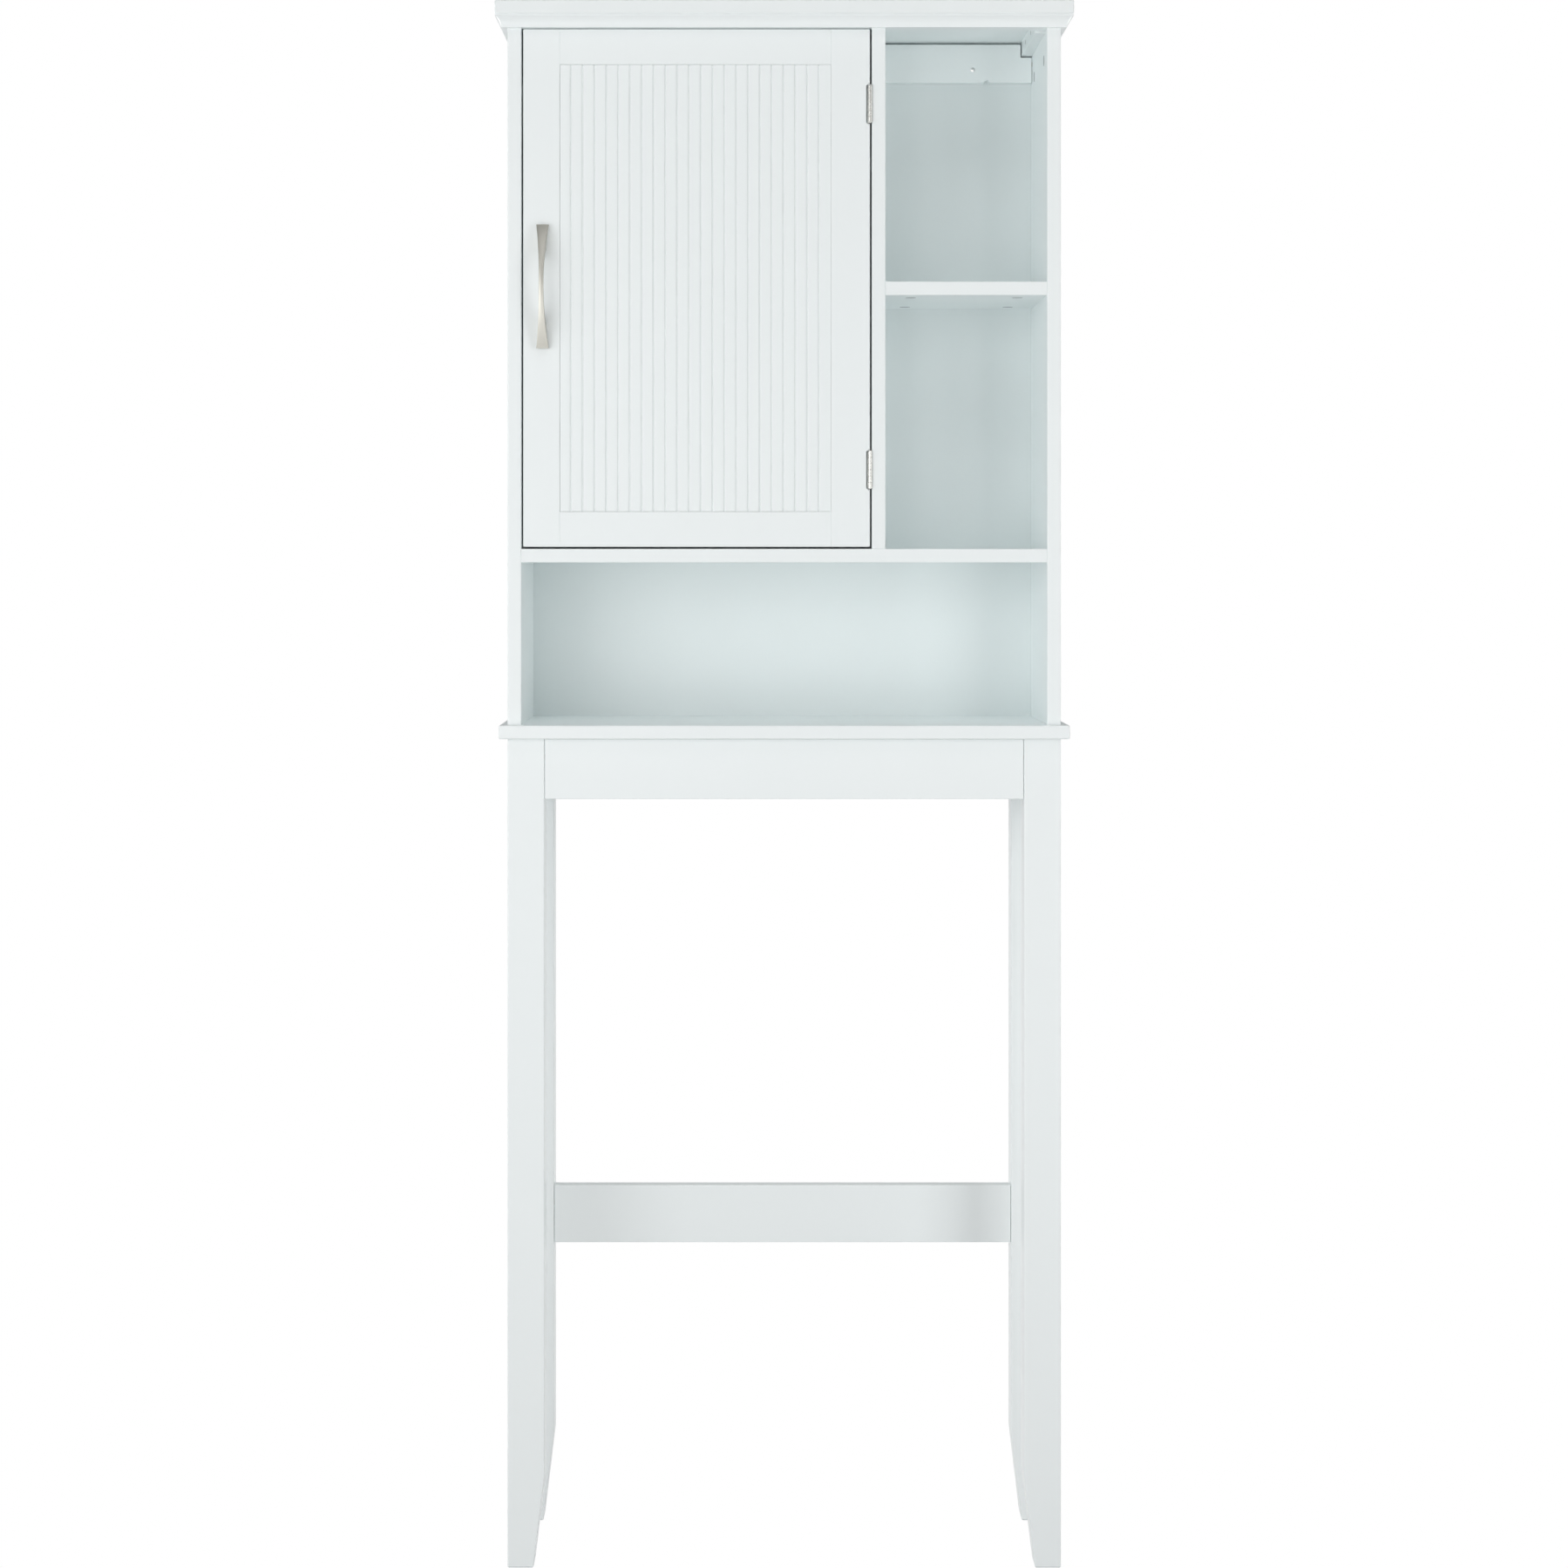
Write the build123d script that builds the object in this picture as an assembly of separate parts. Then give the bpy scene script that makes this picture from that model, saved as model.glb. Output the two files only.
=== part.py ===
from build123d import *
import os

# Over the toilet storage rack: a painted cabinet with a beaded door, standing on a four-legged base.
# Millimetres. +Z up, the front faces -Y, the origin is on the floor under the middle of the whole.

# ---- driving dimensions -------------------------------------------------------------------------
overall_height = 1698.0
body_width = 600.0
body_depth = 190.0
board = 15.0                      # thickness of every main board
ease = 1.2                        # rounding of exposed board edges
cap_ease = 1.8                    # rounding of the two top boards
rail_ease = 0.8                   # rounding of the rails and the door's parts
tight = 0.05                      # clearance round every fastener and pin

cap_overhang = 13.0               # top board beyond the sides and the front
cornice_height = 13.6
cornice_foot = 6.0                # how far the cornice's foot stands off the body
cornice_step = 2.0                # upright edge at the cornice's foot
cornice_lip = 2.0                 # upright edge at its head
cornice_inset = 0.4               # from the top board's edge in to the cornice's head
base_top_level = 914.0            # upper face of the base's top board
base_top_overhang = 9.0
middle_shelf_level = 1105.0       # upper face of the middle shelf
open_shelf_level = 1395.0         # upper face of the fixed shelf in the open compartment
cupboard_shelf_level = 1387.0     # upper face of the loose shelf behind the door
cupboard_shelf_setback = 12.0     # from the door's back to that shelf's front edge
divider_left = 95.0               # left face of the divider
back_recess = 9.0                 # from the back edges in to the back panel
back_thickness = 3.0
back_groove = 6.0                 # how deep the back panel sits in the boards round it

leg_width = 40.0
leg_depth = 35.0
leg_taper_height = 100.0
foot_width = 28.0
rail_height = 65.0                # aprons and stretcher
foot_chamfer = 1.5
stretcher_level = 316.0
stretcher_setback = 2.0           # from the back legs' front faces to the stretcher's
side_apron_setback = 4.0          # from the legs' outer faces in to the side aprons
joint_line = 0.4                  # visible line between a rail and a leg, or the base's top

door_gap = 2.0
door_top_gap = 1.0                # under the cornice
door_thickness = 16.0
handle_stile_width = 39.7
hinge_stile_width = 42.3
door_rail_width = 38.3
door_corner = 1.5                 # rounding of the door's four corners
bead_pitch = 12.81
bead_count = 22
bead_radius = 1.0
first_bead = 11.8
panel_setback = 0.8
panel_thickness = 10.2
panel_margin = 0.25               # gap between the bead panel and the frame round it
groove_clear = 0.1                # room round a tongue in its groove
groove_forward = 1.0              # from mid-thickness of the door to mid-tongue
tongue = 8.0
tongue_thickness = 4.0

handle_length = 134.0
handle_height = 28.0
handle_end_width = 13.5
handle_waist = 5.0
handle_level = 1389.0
handle_in = 21.2                  # from the door's edge to the handle's middle
handle_hole_spacing = 96.0
handle_tip_out = 6.0              # from the door to the tips' front edge
handle_foot_out = 60.0            # feet: outer and inner limit, from the middle
handle_foot_in = 40.0
handle_crown = 5.5                # thickness at the middle of the bow

hinge_height = 40.5
hinge_levels = {"upper": 1587.0, "lower": 1190.5}
hinge_axis_in = 1.7               # barrel axis, left of the divider's face
hinge_axis_out = 1.2              # barrel axis, in front of the door's face
barrel_radius = 2.35
pin_radius = 1.0
leaf_thickness = 1.2
leaf_depth = 15.0
hinge_screw_offset = 12.0         # above and below the hinge's middle
hinge_screw_depth = 9.0           # behind the door's face
leaf_corner = 3.0
leaf_gap = 0.1                    # between a leaf and the barrel's tangent
seat_clear = 0.4                  # above and below a leaf in its recess
relief_width = 4.2                # cut in the door's edge that the barrel turns in
relief_depth = 6.2
relief_corner = 2.0
knuckles = 6
knuckle_gap = 0.15

wall_rail_height = 43.4
wall_rail_thickness = 12.0
wall_rail_drop = 2.6              # below the top board
wall_hole_radius = 2.5
wall_hole_x = 217.0
wall_hole_drop = 28.4             # below the rail's upper edge
rail_end_gap = 0.6
rail_notch_depth = 14.7
rail_notch_clear = 1.3            # beside the batten
thumb_notch_x = 233.0             # half-round notch in the rail's lower edge
thumb_notch_radius = 2.8
batten_width = 12.0
batten_height = 15.6
batten_clear = 2.0                # behind the shut door

# ---- levels and places worked out from them -----------------------------------------------------
front = -(body_depth + handle_height) / 2 + handle_height
back = front + body_depth
half = body_width / 2
inner = half - board
cap_bottom = overall_height - board
opening_top = cap_bottom - cornice_height
back_face = back - back_recess - back_thickness
divider_right = divider_left + board
base_bottom = base_top_level - board
stretcher_front = back - leg_depth + stretcher_setback

door_left = -inner + door_gap
door_right = divider_left - door_gap
door_bottom = middle_shelf_level + door_gap
door_top = opening_top - door_top_gap
door_back = front + door_thickness
stile_inner_left = door_left + handle_stile_width
stile_inner_right = door_right - hinge_stile_width
rail_inner_bottom = door_bottom + door_rail_width
rail_inner_top = door_top - door_rail_width
axis_x = divider_left - hinge_axis_in
axis_y = front - hinge_axis_out
handle_x = door_left + handle_in
rail_top = cap_bottom - wall_rail_drop
rail_front = back_face - wall_rail_thickness


# ---- small helpers ------------------------------------------------------------------------------
def block(x, y, z):
    """A block between two limits on each axis."""
    size = (x[1] - x[0], y[1] - y[0], z[1] - z[0])
    middle = ((x[0] + x[1]) / 2, (y[0] + y[1]) / 2, (z[0] + z[1]) / 2)
    return Pos(*middle) * Box(*size)


def rod(start, direction, length, radius, end_radius=None):
    """A round rod, or a cone, from a point along a direction."""
    plane = Plane(origin=start, z_dir=direction)
    middle = Pos(0, 0, length / 2)
    if end_radius is None:
        return plane * middle * Cylinder(radius, length)
    return plane * middle * Cone(radius, end_radius, length)


def along(solid, axis):
    """The edges of a solid that run along one axis."""
    return solid.edges().filter_by(axis)


def front_edges(solid, axis):
    """The edges along one axis that lie in the front face."""
    return along(solid, axis).group_by(Axis.Y)[0]


def front_face_edges(solid):
    """All the edges round the front face."""
    return solid.faces().sort_by(Axis.Y)[0].edges()


def overhanging_board(edge, overhang, level):
    """Board across the whole width that stands out at the sides and front, edges rounded."""
    solid = block((-edge, edge), (front - overhang, back), (level - board, level))
    rounded = along(solid, Axis.X).group_by(Axis.Y)[0] + along(solid, Axis.Y)
    return fillet(rounded + along(solid, Axis.Z).group_by(Axis.Y)[0], cap_ease)


pieces = {}


def drill(bores, *names):
    """Cuts a list of bores out of the named pieces."""
    for name in names:
        for bore in bores:
            pieces[name] = pieces[name] - bore


def group(solids):
    """Separate solids kept together in one piece."""
    return Compound(children=solids)


def shifted(point, direction, distance):
    """A point moved along a direction."""
    return tuple(p + d * distance for p, d in zip(point, direction))


# ---- cabinet boards -----------------------------------------------------------------------------
def cornice_section():
    """Cove moulding in section: x outwards from the body, y upwards from the foot."""
    head = cap_overhang - cornice_inset
    foot = cornice_foot
    lip = cornice_height - cornice_lip
    quirk = head - 1.0
    outline = Polyline((0, cornice_height), (0, 0), (foot, 0), (foot, cornice_step))
    cove = ThreePointArc((foot, cornice_step), (foot + 1.6, 7.2), (quirk, lip))
    edge = Polyline((quirk, lip), (head, lip), (head, cornice_height), (0, cornice_height))
    return make_face([*outline.edges(), *cove.edges(), *edge.edges()])


def cornices():
    section = cornice_section()
    run = body_width + 2 * cap_overhang
    straight = Plane(origin=(run / 2, front, opening_top), x_dir=(0, -1, 0), z_dir=(-1, 0, 0))
    front_strip = extrude(straight * section, run)
    reach = 60.0                  # well past the mouldings, for the solid that cuts the mitres
    outline = Polyline((-half, front), (-half - reach, front - reach), (half + reach, front - reach),
                       (half, front), (-half, front))
    ahead = extrude(Pos(0, 0, opening_top - 1) * make_face(outline), cornice_height + 2)
    pieces["cornice_front"] = front_strip & ahead
    for name, side in (("cornice_left", -1), ("cornice_right", 1)):
        plane = Plane(origin=(side * half, back, opening_top), x_dir=(side, 0, 0), z_dir=(0, -side, 0))
        length = body_depth + cap_overhang
        strip = extrude(plane * section, side * length)
        pieces[name] = strip - ahead


def side_panel(side):
    x = sorted((side * inner, side * half))
    solid = block(x, (front, back), (base_top_level, cap_bottom))
    return fillet(front_edges(solid, Axis.Z), ease)


def divider_panel():
    solid = block((divider_left, divider_right), (front, back_face), (middle_shelf_level, cap_bottom))
    solid = fillet(front_edges(solid, Axis.Z), ease)
    rail_notch = block((divider_left - 1, divider_right + 1), (front - 1, front + board),
                       (opening_top, cap_bottom + 1))
    wall_notch = block((divider_left - 1, divider_right + 1), (rail_front, back_face + 1),
                       (rail_top - wall_rail_height, cap_bottom + 1))
    return solid - rail_notch - wall_notch


def shelf(left, right, level, depth_from=front):
    solid = block((left, right), (depth_from, back_face), (level - board, level))
    return fillet(front_edges(solid, Axis.X), ease)


def back_panel():
    reach = inner + back_groove
    return block((-reach, reach), (back_face, back_face + back_thickness),
                 (base_top_level, cap_bottom))


def back_panel_groove(side):
    x = sorted((side * (inner - 1), side * (inner + back_groove + 0.2)))
    y = (back_face - 0.1, back_face + back_thickness + 0.1)
    return block(x, y, (base_top_level - 1, cap_bottom + 1))


def wall_rail():
    """Rail that the wall screws go through, notched at both ends to clear the top battens."""
    y = (rail_front, back_face)
    reach = inner - rail_end_gap
    solid = block((-reach, reach), y, (rail_top - wall_rail_height, rail_top))
    for side in (-1, 1):
        x = sorted((side * (inner - batten_width - rail_notch_clear), side * inner))
        solid = solid - block(x, (y[0] - 1, y[1] + 1), (rail_top - rail_notch_depth, rail_top + 1))
    thumb_notch = rod((thumb_notch_x, y[0] - 1, rail_top - wall_rail_height), (0, 1, 0),
                      wall_rail_thickness + 2, thumb_notch_radius)
    solid = solid - thumb_notch
    return fillet(front_face_edges(solid).filter_by(GeomType.LINE), 0.5)


def front_top_rail():
    return block((-inner, inner), (front, front + board), (opening_top, cap_bottom))


def top_batten(side):
    x = sorted((side * (inner - batten_width), side * inner))
    return block(x, (door_back + batten_clear, back_face), (cap_bottom - batten_height, cap_bottom))


# ---- door ---------------------------------------------------------------------------------------
def door_groove_y():
    """Front and back limit of the tongues that join the door's parts."""
    middle = front + door_thickness / 2 - groove_forward
    return (middle - tongue_thickness / 2, middle + tongue_thickness / 2)


def door_groove(x, z):
    """The groove that a tongue sits in."""
    y = door_groove_y()
    return block(x, (y[0] - groove_clear, y[1] + groove_clear), z)


def door_stile(x, inner_side):
    """Upright of the door frame, its two outer corners rounded and its front edges eased."""
    solid = block(x, (front, door_back), (door_bottom, door_top))
    corners = along(solid, Axis.Y).group_by(Axis.X)
    solid = fillet(corners[0] if inner_side > 0 else corners[-1], door_corner)
    solid = fillet(front_face_edges(solid), rail_ease)
    edge = x[1] if inner_side > 0 else x[0]
    groove_x = sorted((edge - inner_side * (tongue + 0.2), edge + inner_side))
    return solid - door_groove(groove_x, (door_bottom - 1, door_top + 1))


def door_rail(z, inner_side):
    """Cross piece of the door frame, with a tongue at each end."""
    body = block((stile_inner_left, stile_inner_right), (front, door_back), z)
    body = fillet(front_edges(body, Axis.X), rail_ease)
    tongues = block((stile_inner_left - tongue, stile_inner_right + tongue), door_groove_y(), z)
    edge = z[1] if inner_side > 0 else z[0]
    groove_z = sorted((edge - inner_side * (tongue + 0.2), edge + inner_side))
    groove_x = (stile_inner_left - tongue - 1, stile_inner_right + tongue + 1)
    return body + tongues - door_groove(groove_x, groove_z)


def door_bead_panel():
    """Grooved panel inside the door frame, with a tongue all round."""
    x = (stile_inner_left + panel_margin, stile_inner_right - panel_margin)
    z = (rail_inner_bottom + panel_margin, rail_inner_top - panel_margin)
    face = front + panel_setback
    field = block(x, (face, face + panel_thickness), z)
    beads = []
    for index in range(bead_count):
        start = (stile_inner_left + first_bead + index * bead_pitch, face - 0.1, z[0] - 1)
        beads.append(rod(start, (0, 0, 1), z[1] - z[0] + 2, bead_radius))
    field = field - beads
    reach = tongue - panel_margin
    edge = block((x[0] - reach, x[1] + reach), door_groove_y(), (z[0] - reach, z[1] + reach))
    return field + edge


def handle_solid():
    """Arched pull, waisted in front view. Its feet stand on the door."""
    tip = handle_length / 2
    tip_y = front - handle_tip_out
    crown = front - handle_height
    out = handle_foot_out
    foot = handle_foot_in
    outer = ThreePointArc((-tip, tip_y), (0, crown), (tip, tip_y))
    inner_arc = ThreePointArc((foot, front), (0, crown + handle_crown), (-foot, front))
    ends = (Polyline((tip, tip_y), (out, front), (foot, front)),
            Polyline((-foot, front), (-out, front), (-tip, tip_y)))
    outline = [*outer.edges(), *ends[0].edges(), *inner_arc.edges(), *ends[1].edges()]
    side_view = Plane(origin=(handle_x, 0, handle_level), x_dir=(0, 0, 1), z_dir=(-1, 0, 0))
    profile = make_face(outline)
    bow = extrude(side_view * profile, handle_end_width, both=True)
    wide = handle_end_width / 2
    waist = handle_waist / 2
    quarter = waist + (wide - waist) * 0.22
    right = Spline((wide, tip), (quarter, tip / 2), (waist, 0), (quarter, -tip / 2), (wide, -tip))
    left = Spline((-wide, -tip), (-quarter, -tip / 2), (-waist, 0), (-quarter, tip / 2), (-wide, tip))
    across = (Line((wide, -tip), (-wide, -tip)), Line((-wide, tip), (wide, tip)))
    plan = make_face([*right.edges(), across[0], *left.edges(), across[1]])
    front_view = Plane(origin=(handle_x, front + 1, handle_level), x_dir=(1, 0, 0), z_dir=(0, -1, 0))
    waisted = extrude(front_view * plan, handle_height + 2)
    return bow & waisted


# ---- hinges -------------------------------------------------------------------------------------
def knuckle_spans(level):
    """Lower and upper end of each knuckle, from the bottom."""
    step = hinge_height / knuckles
    low = level - hinge_height / 2
    return [(low + i * step + knuckle_gap / 2, low + (i + 1) * step - knuckle_gap / 2)
            for i in range(knuckles)]


def hinge_leaf(level, side):
    """One leaf with its own knuckles: side -1 is the door's, +1 the divider's."""
    low = level - hinge_height / 2
    outer = axis_x + side * (barrel_radius + leaf_gap)
    x = sorted((outer - side * leaf_thickness, outer))
    plate_start = axis_y + barrel_radius + 0.8
    plate = block(x, (plate_start, front + leaf_depth), (low, low + hinge_height))
    plate = fillet(along(plate, Axis.X).group_by(Axis.Y)[-1], leaf_corner)
    own = [span for i, span in enumerate(knuckle_spans(level)) if (i % 2 == 0) == (side > 0)]
    solid = plate
    for bottom, top in own:
        ring = rod((axis_x, axis_y, bottom), (0, 0, 1), top - bottom, barrel_radius)
        web = block(x, (axis_y, plate_start + 0.1), (bottom, top))
        solid = solid + ring + web
    return solid - rod((axis_x, axis_y, low - 1), (0, 0, 1), hinge_height + 2, pin_radius + tight)


def hinge_pin(level):
    low = level - hinge_height / 2
    shank = rod((axis_x, axis_y, low - 0.6), (0, 0, 1), hinge_height + 1.2, pin_radius)
    head = rod((axis_x, axis_y, low + hinge_height + 0.1), (0, 0, 1), 1.0, barrel_radius - 0.4)
    return shank + head


def crossed(plane, length, width, height):
    """Two bars crossed in a plane, for the recess that a screwdriver fits."""
    return plane * Box(length, width, height) + plane * Box(width, length, height)


def screw(head, direction, length, radius, head_radius, head_height):
    """Countersunk wood screw. The head's flat face is at the point and the screw runs along the way."""
    taper = 3.0
    cone = rod(head, direction, head_height, head_radius, radius)
    shank_length = length - head_height - taper
    shank = rod(shifted(head, direction, head_height), direction, shank_length, radius)
    point = rod(shifted(head, direction, length - taper), direction, taper, radius, 0.3)
    recess = crossed(Plane(origin=head, z_dir=direction), head_radius * 0.95, 0.6, head_height)
    return cone + shank + point - recess


def screw_hole(head, direction, length, radius, head_radius, head_height):
    """The hole that such a screw sits in."""
    mouth = shifted(head, direction, -1.0)
    sink = rod(head, direction, head_height, head_radius + tight, radius + tight)
    return (sink + rod(mouth, direction, 1.0, head_radius + tight)
            + rod(head, direction, length + 0.5, radius + tight))


def hinge_screw_places(side):
    """Head point and direction of each screw through the leaves on one side."""
    face = axis_x + side * (barrel_radius + leaf_gap - leaf_thickness)
    places = []
    for level in hinge_levels.values():
        for offset in (-hinge_screw_offset, hinge_screw_offset):
            places.append(((face, front + hinge_screw_depth, level + offset), (side, 0, 0)))
    return places


hinge_screw = dict(length=12.0, radius=1.1, head_radius=2.3, head_height=1.2)


# ---- knock-down fasteners -----------------------------------------------------------------------
cam_radius = 6.0
cam_depth = 11.4
bolt_in_panel = 11.0
bolt_thread_radius = 2.5
bolt_head_back = 3.8              # from the cam's centre back to the end of the bolt's head


def cam_lock(centre, way_out, bolt_way):
    """Cam disc. The centre is in mid-board; way_out points to the face that it shows on."""
    face = shifted(centre, way_out, board / 2)
    inward = tuple(-v for v in way_out)
    disc = rod(face, inward, cam_depth, cam_radius)
    pocket = rod(shifted(centre, bolt_way, -bolt_head_back - 0.4), bolt_way, 2 * cam_radius, 3.7)
    return disc - pocket - crossed(Plane(origin=face, z_dir=way_out), 7.0, 1.3, 3.0)


def cam_bore(centre, way_out):
    """The blind bore that a cam disc sits in."""
    mouth = shifted(centre, way_out, board / 2 + 1)
    inward = tuple(-v for v in way_out)
    return rod(mouth, inward, cam_depth + 1.2, cam_radius + tight)


def cam_bolt(centre, bolt_way, reach):
    """Bolt from a cam's centre out of the board's end and into the panel. reach: centre to the end."""
    head_height = 3.0
    collar_height = 1.6
    neck = head_height - bolt_head_back
    head = rod(shifted(centre, bolt_way, -bolt_head_back), bolt_way, head_height, 3.4)
    stem_length = reach - neck - collar_height
    stem = rod(shifted(centre, bolt_way, neck), bolt_way, stem_length, 1.8)
    collar = rod(shifted(centre, bolt_way, reach - collar_height), bolt_way, collar_height, 3.2)
    thread = rod(shifted(centre, bolt_way, reach), bolt_way, bolt_in_panel, bolt_thread_radius)
    return head + stem + collar + thread


def cam_bolt_bores(centre, bolt_way, reach):
    """The end bore in the board and the bore in the panel."""
    end_bore = rod(centre, bolt_way, reach, 3.6)
    panel_bore = rod(shifted(centre, bolt_way, reach), bolt_way, bolt_in_panel + 0.4,
                     bolt_thread_radius + tight)
    return end_bore, panel_bore


cams = []
bolts = []
dowels = []
joint_screws = []


def cam_joint(held, panel, centre, way_out, bolt_way, reach):
    """Joins a board that holds a cam to a panel that holds its bolt."""
    cams.append(cam_lock(centre, way_out, bolt_way))
    bolts.append(cam_bolt(centre, bolt_way, reach))
    end_bore, panel_bore = cam_bolt_bores(centre, bolt_way, reach)
    drill([cam_bore(centre, way_out), end_bore], held)
    drill([panel_bore], panel)


def dowel_joint(first, second, centre, direction, length=30.0, radius=4.0):
    """Joins two boards with a wooden dowel centred on their joint."""
    start = shifted(centre, direction, -length / 2)
    body = rod(start, direction, length, radius)
    dowels.append(chamfer(body.edges().filter_by(GeomType.CIRCLE), 0.8))
    bore = rod(shifted(start, direction, -0.6), direction, length + 1.2, radius + tight)
    drill([bore], first, second)


def connecting_screw(first, second, head, direction, length=50.0):
    """Joins two boards with a long countersunk screw."""
    size = dict(length=length, radius=2.4, head_radius=4.8, head_height=3.0)
    joint_screws.append(screw(head, direction, **size))
    drill([screw_hole(head, direction, **size)], first, second)


# ---- base ---------------------------------------------------------------------------------------
def leg(side, y):
    """Straight leg whose inner side slopes in near the floor."""
    outer_x = side * half
    inner_x = side * (half - leg_width)
    foot_x = side * (half - foot_width)
    outline = Polyline((outer_x, 0), (outer_x, base_bottom), (inner_x, base_bottom),
                       (inner_x, leg_taper_height), (foot_x, 0), (outer_x, 0))
    plane = Plane(origin=(0, y[1], 0), x_dir=(1, 0, 0), z_dir=(0, -1, 0))
    solid = extrude(plane * make_face(outline), y[1] - y[0])
    solid = chamfer(solid.faces().sort_by(Axis.Z)[0].edges(), foot_chamfer)
    upright = [edge for edge in solid.edges() if abs((edge @ 1 - edge @ 0).Z) > 50]
    return fillet(upright, ease)


def cross_rail(y, level):
    reach = half - leg_width - joint_line
    solid = block((-reach, reach), y, (level, level + rail_height))
    return fillet(front_face_edges(solid), rail_ease)


def side_apron(side):
    outer_x = half - side_apron_setback
    x = sorted((side * outer_x, side * (outer_x - board)))
    return block(x, (front + leg_depth, back - leg_depth), (base_bottom - rail_height, base_bottom))


# ---- assembly -----------------------------------------------------------------------------------
pieces["top_board"] = overhanging_board(half + cap_overhang, cap_overhang, overall_height)
cornices()
pieces["left_side_panel"] = side_panel(-1)
pieces["right_side_panel"] = side_panel(1)
pieces["divider_panel"] = divider_panel()
pieces["middle_shelf"] = shelf(-inner, inner, middle_shelf_level)
pieces["open_shelf"] = shelf(divider_right, inner, open_shelf_level)
pieces["cupboard_shelf"] = shelf(-inner + 1, divider_left - 1, cupboard_shelf_level,
                                 door_back + cupboard_shelf_setback)
pieces["back_panel"] = back_panel()
pieces["wall_rail"] = wall_rail()
pieces["front_top_rail"] = front_top_rail()
pieces["top_batten_left"] = top_batten(-1)
pieces["top_batten_right"] = top_batten(1)
pieces["base_top"] = overhanging_board(half + base_top_overhang, base_top_overhang, base_top_level)
front_leg_y = (front, front + leg_depth)
back_leg_y = (back - leg_depth, back)
pieces["leg_front_left"] = leg(-1, front_leg_y)
pieces["leg_front_right"] = leg(1, front_leg_y)
pieces["leg_back_left"] = leg(-1, back_leg_y)
pieces["leg_back_right"] = leg(1, back_leg_y)
apron_level = base_bottom - rail_height - joint_line
pieces["front_apron"] = cross_rail((front, front + board), apron_level)
pieces["back_apron"] = cross_rail((back - board, back), apron_level)
pieces["lower_stretcher"] = cross_rail((stretcher_front, stretcher_front + board), stretcher_level)
pieces["side_apron_left"] = side_apron(-1)
pieces["side_apron_right"] = side_apron(1)

pieces["door_handle_stile"] = door_stile((door_left, stile_inner_left), 1)
pieces["door_hinge_stile"] = door_stile((stile_inner_right, door_right), -1)
pieces["door_bottom_rail"] = door_rail((door_bottom, rail_inner_bottom), 1)
pieces["door_top_rail"] = door_rail((rail_inner_top, door_top), -1)
pieces["door_bead_panel"] = door_bead_panel()
pieces["handle"] = handle_solid()

for side in (-1, 1):
    name = "left_side_panel" if side < 0 else "right_side_panel"
    drill([back_panel_groove(side)], name)

# Wall fixing holes, right through the rail and the back panel.
for x in (-wall_hole_x, wall_hole_x):
    hole = rod((x, rail_front - 1, rail_top - wall_hole_drop), (0, 1, 0),
               wall_rail_thickness + back_thickness + 2, wall_hole_radius)
    drill([hole], "wall_rail", "back_panel")

# Hinges, their recesses and their screws.
for place, level in hinge_levels.items():
    pieces[place + "_hinge_frame_leaf"] = hinge_leaf(level, 1)
    pieces[place + "_hinge_door_leaf"] = hinge_leaf(level, -1)
    pieces[place + "_hinge_pin"] = hinge_pin(level)
    z = (level - hinge_height / 2 - seat_clear, level + hinge_height / 2 + seat_clear)
    leaf_y = (front - 1, front + leaf_depth + 0.3)
    door_seat = block((axis_x - barrel_radius - leaf_gap, door_right + 1), leaf_y, z)
    frame_seat = block((divider_left - 1, axis_x + barrel_radius + leaf_gap), leaf_y, z)
    relief = block((door_right - relief_width, door_right + 1), (front - 1, front + relief_depth),
                   (z[0] - seat_clear, z[1] + seat_clear))
    relief = fillet(along(relief, Axis.Y).group_by(Axis.X)[0], relief_corner)
    pin_end = rod((axis_x, axis_y, z[0] - 2), (0, 0, 1), z[1] - z[0] + 4, barrel_radius + 0.2)
    drill([door_seat, relief, pin_end], "door_hinge_stile")
    drill([frame_seat, pin_end], "divider_panel")

for side, boards, leaves in ((1, "divider_panel", "frame"), (-1, "door_hinge_stile", "door")):
    solids = []
    for head, direction in hinge_screw_places(side):
        solids.append(screw(head, direction, **hinge_screw))
        hole = screw_hole(head, direction, **hinge_screw)
        drill([hole], boards, "upper_hinge_" + leaves + "_leaf", "lower_hinge_" + leaves + "_leaf")
    pieces["hinge_" + leaves + "_screws"] = group(solids)

# Handle screws, from the back of the stile into the feet.
pan_height = 2.4
pan_radius = 4.0
handle_screw_radius = 2.0
handle_screws = []
for offset in (-handle_hole_spacing / 2, handle_hole_spacing / 2):
    head = (handle_x, door_back + pan_height, handle_level + offset)
    seat = (handle_x, door_back, handle_level + offset)
    shank_length = door_thickness + 9.0
    pan = rod(head, (0, -1, 0), pan_height, pan_radius)
    pan = chamfer(pan.edges().group_by(Axis.Y)[-1], 0.8)
    shank = rod(seat, (0, -1, 0), shank_length, handle_screw_radius)
    recess = crossed(Plane(origin=head, z_dir=(0, 1, 0)), 4.2, 0.9, pan_height)
    handle_screws.append(pan + shank - recess)
    bore = rod(shifted(seat, (0, 1, 0), 1.0), (0, -1, 0), shank_length + 1.5,
               handle_screw_radius + tight)
    drill([bore], "door_handle_stile", "handle")
pieces["handle_screws"] = group(handle_screws)

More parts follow.
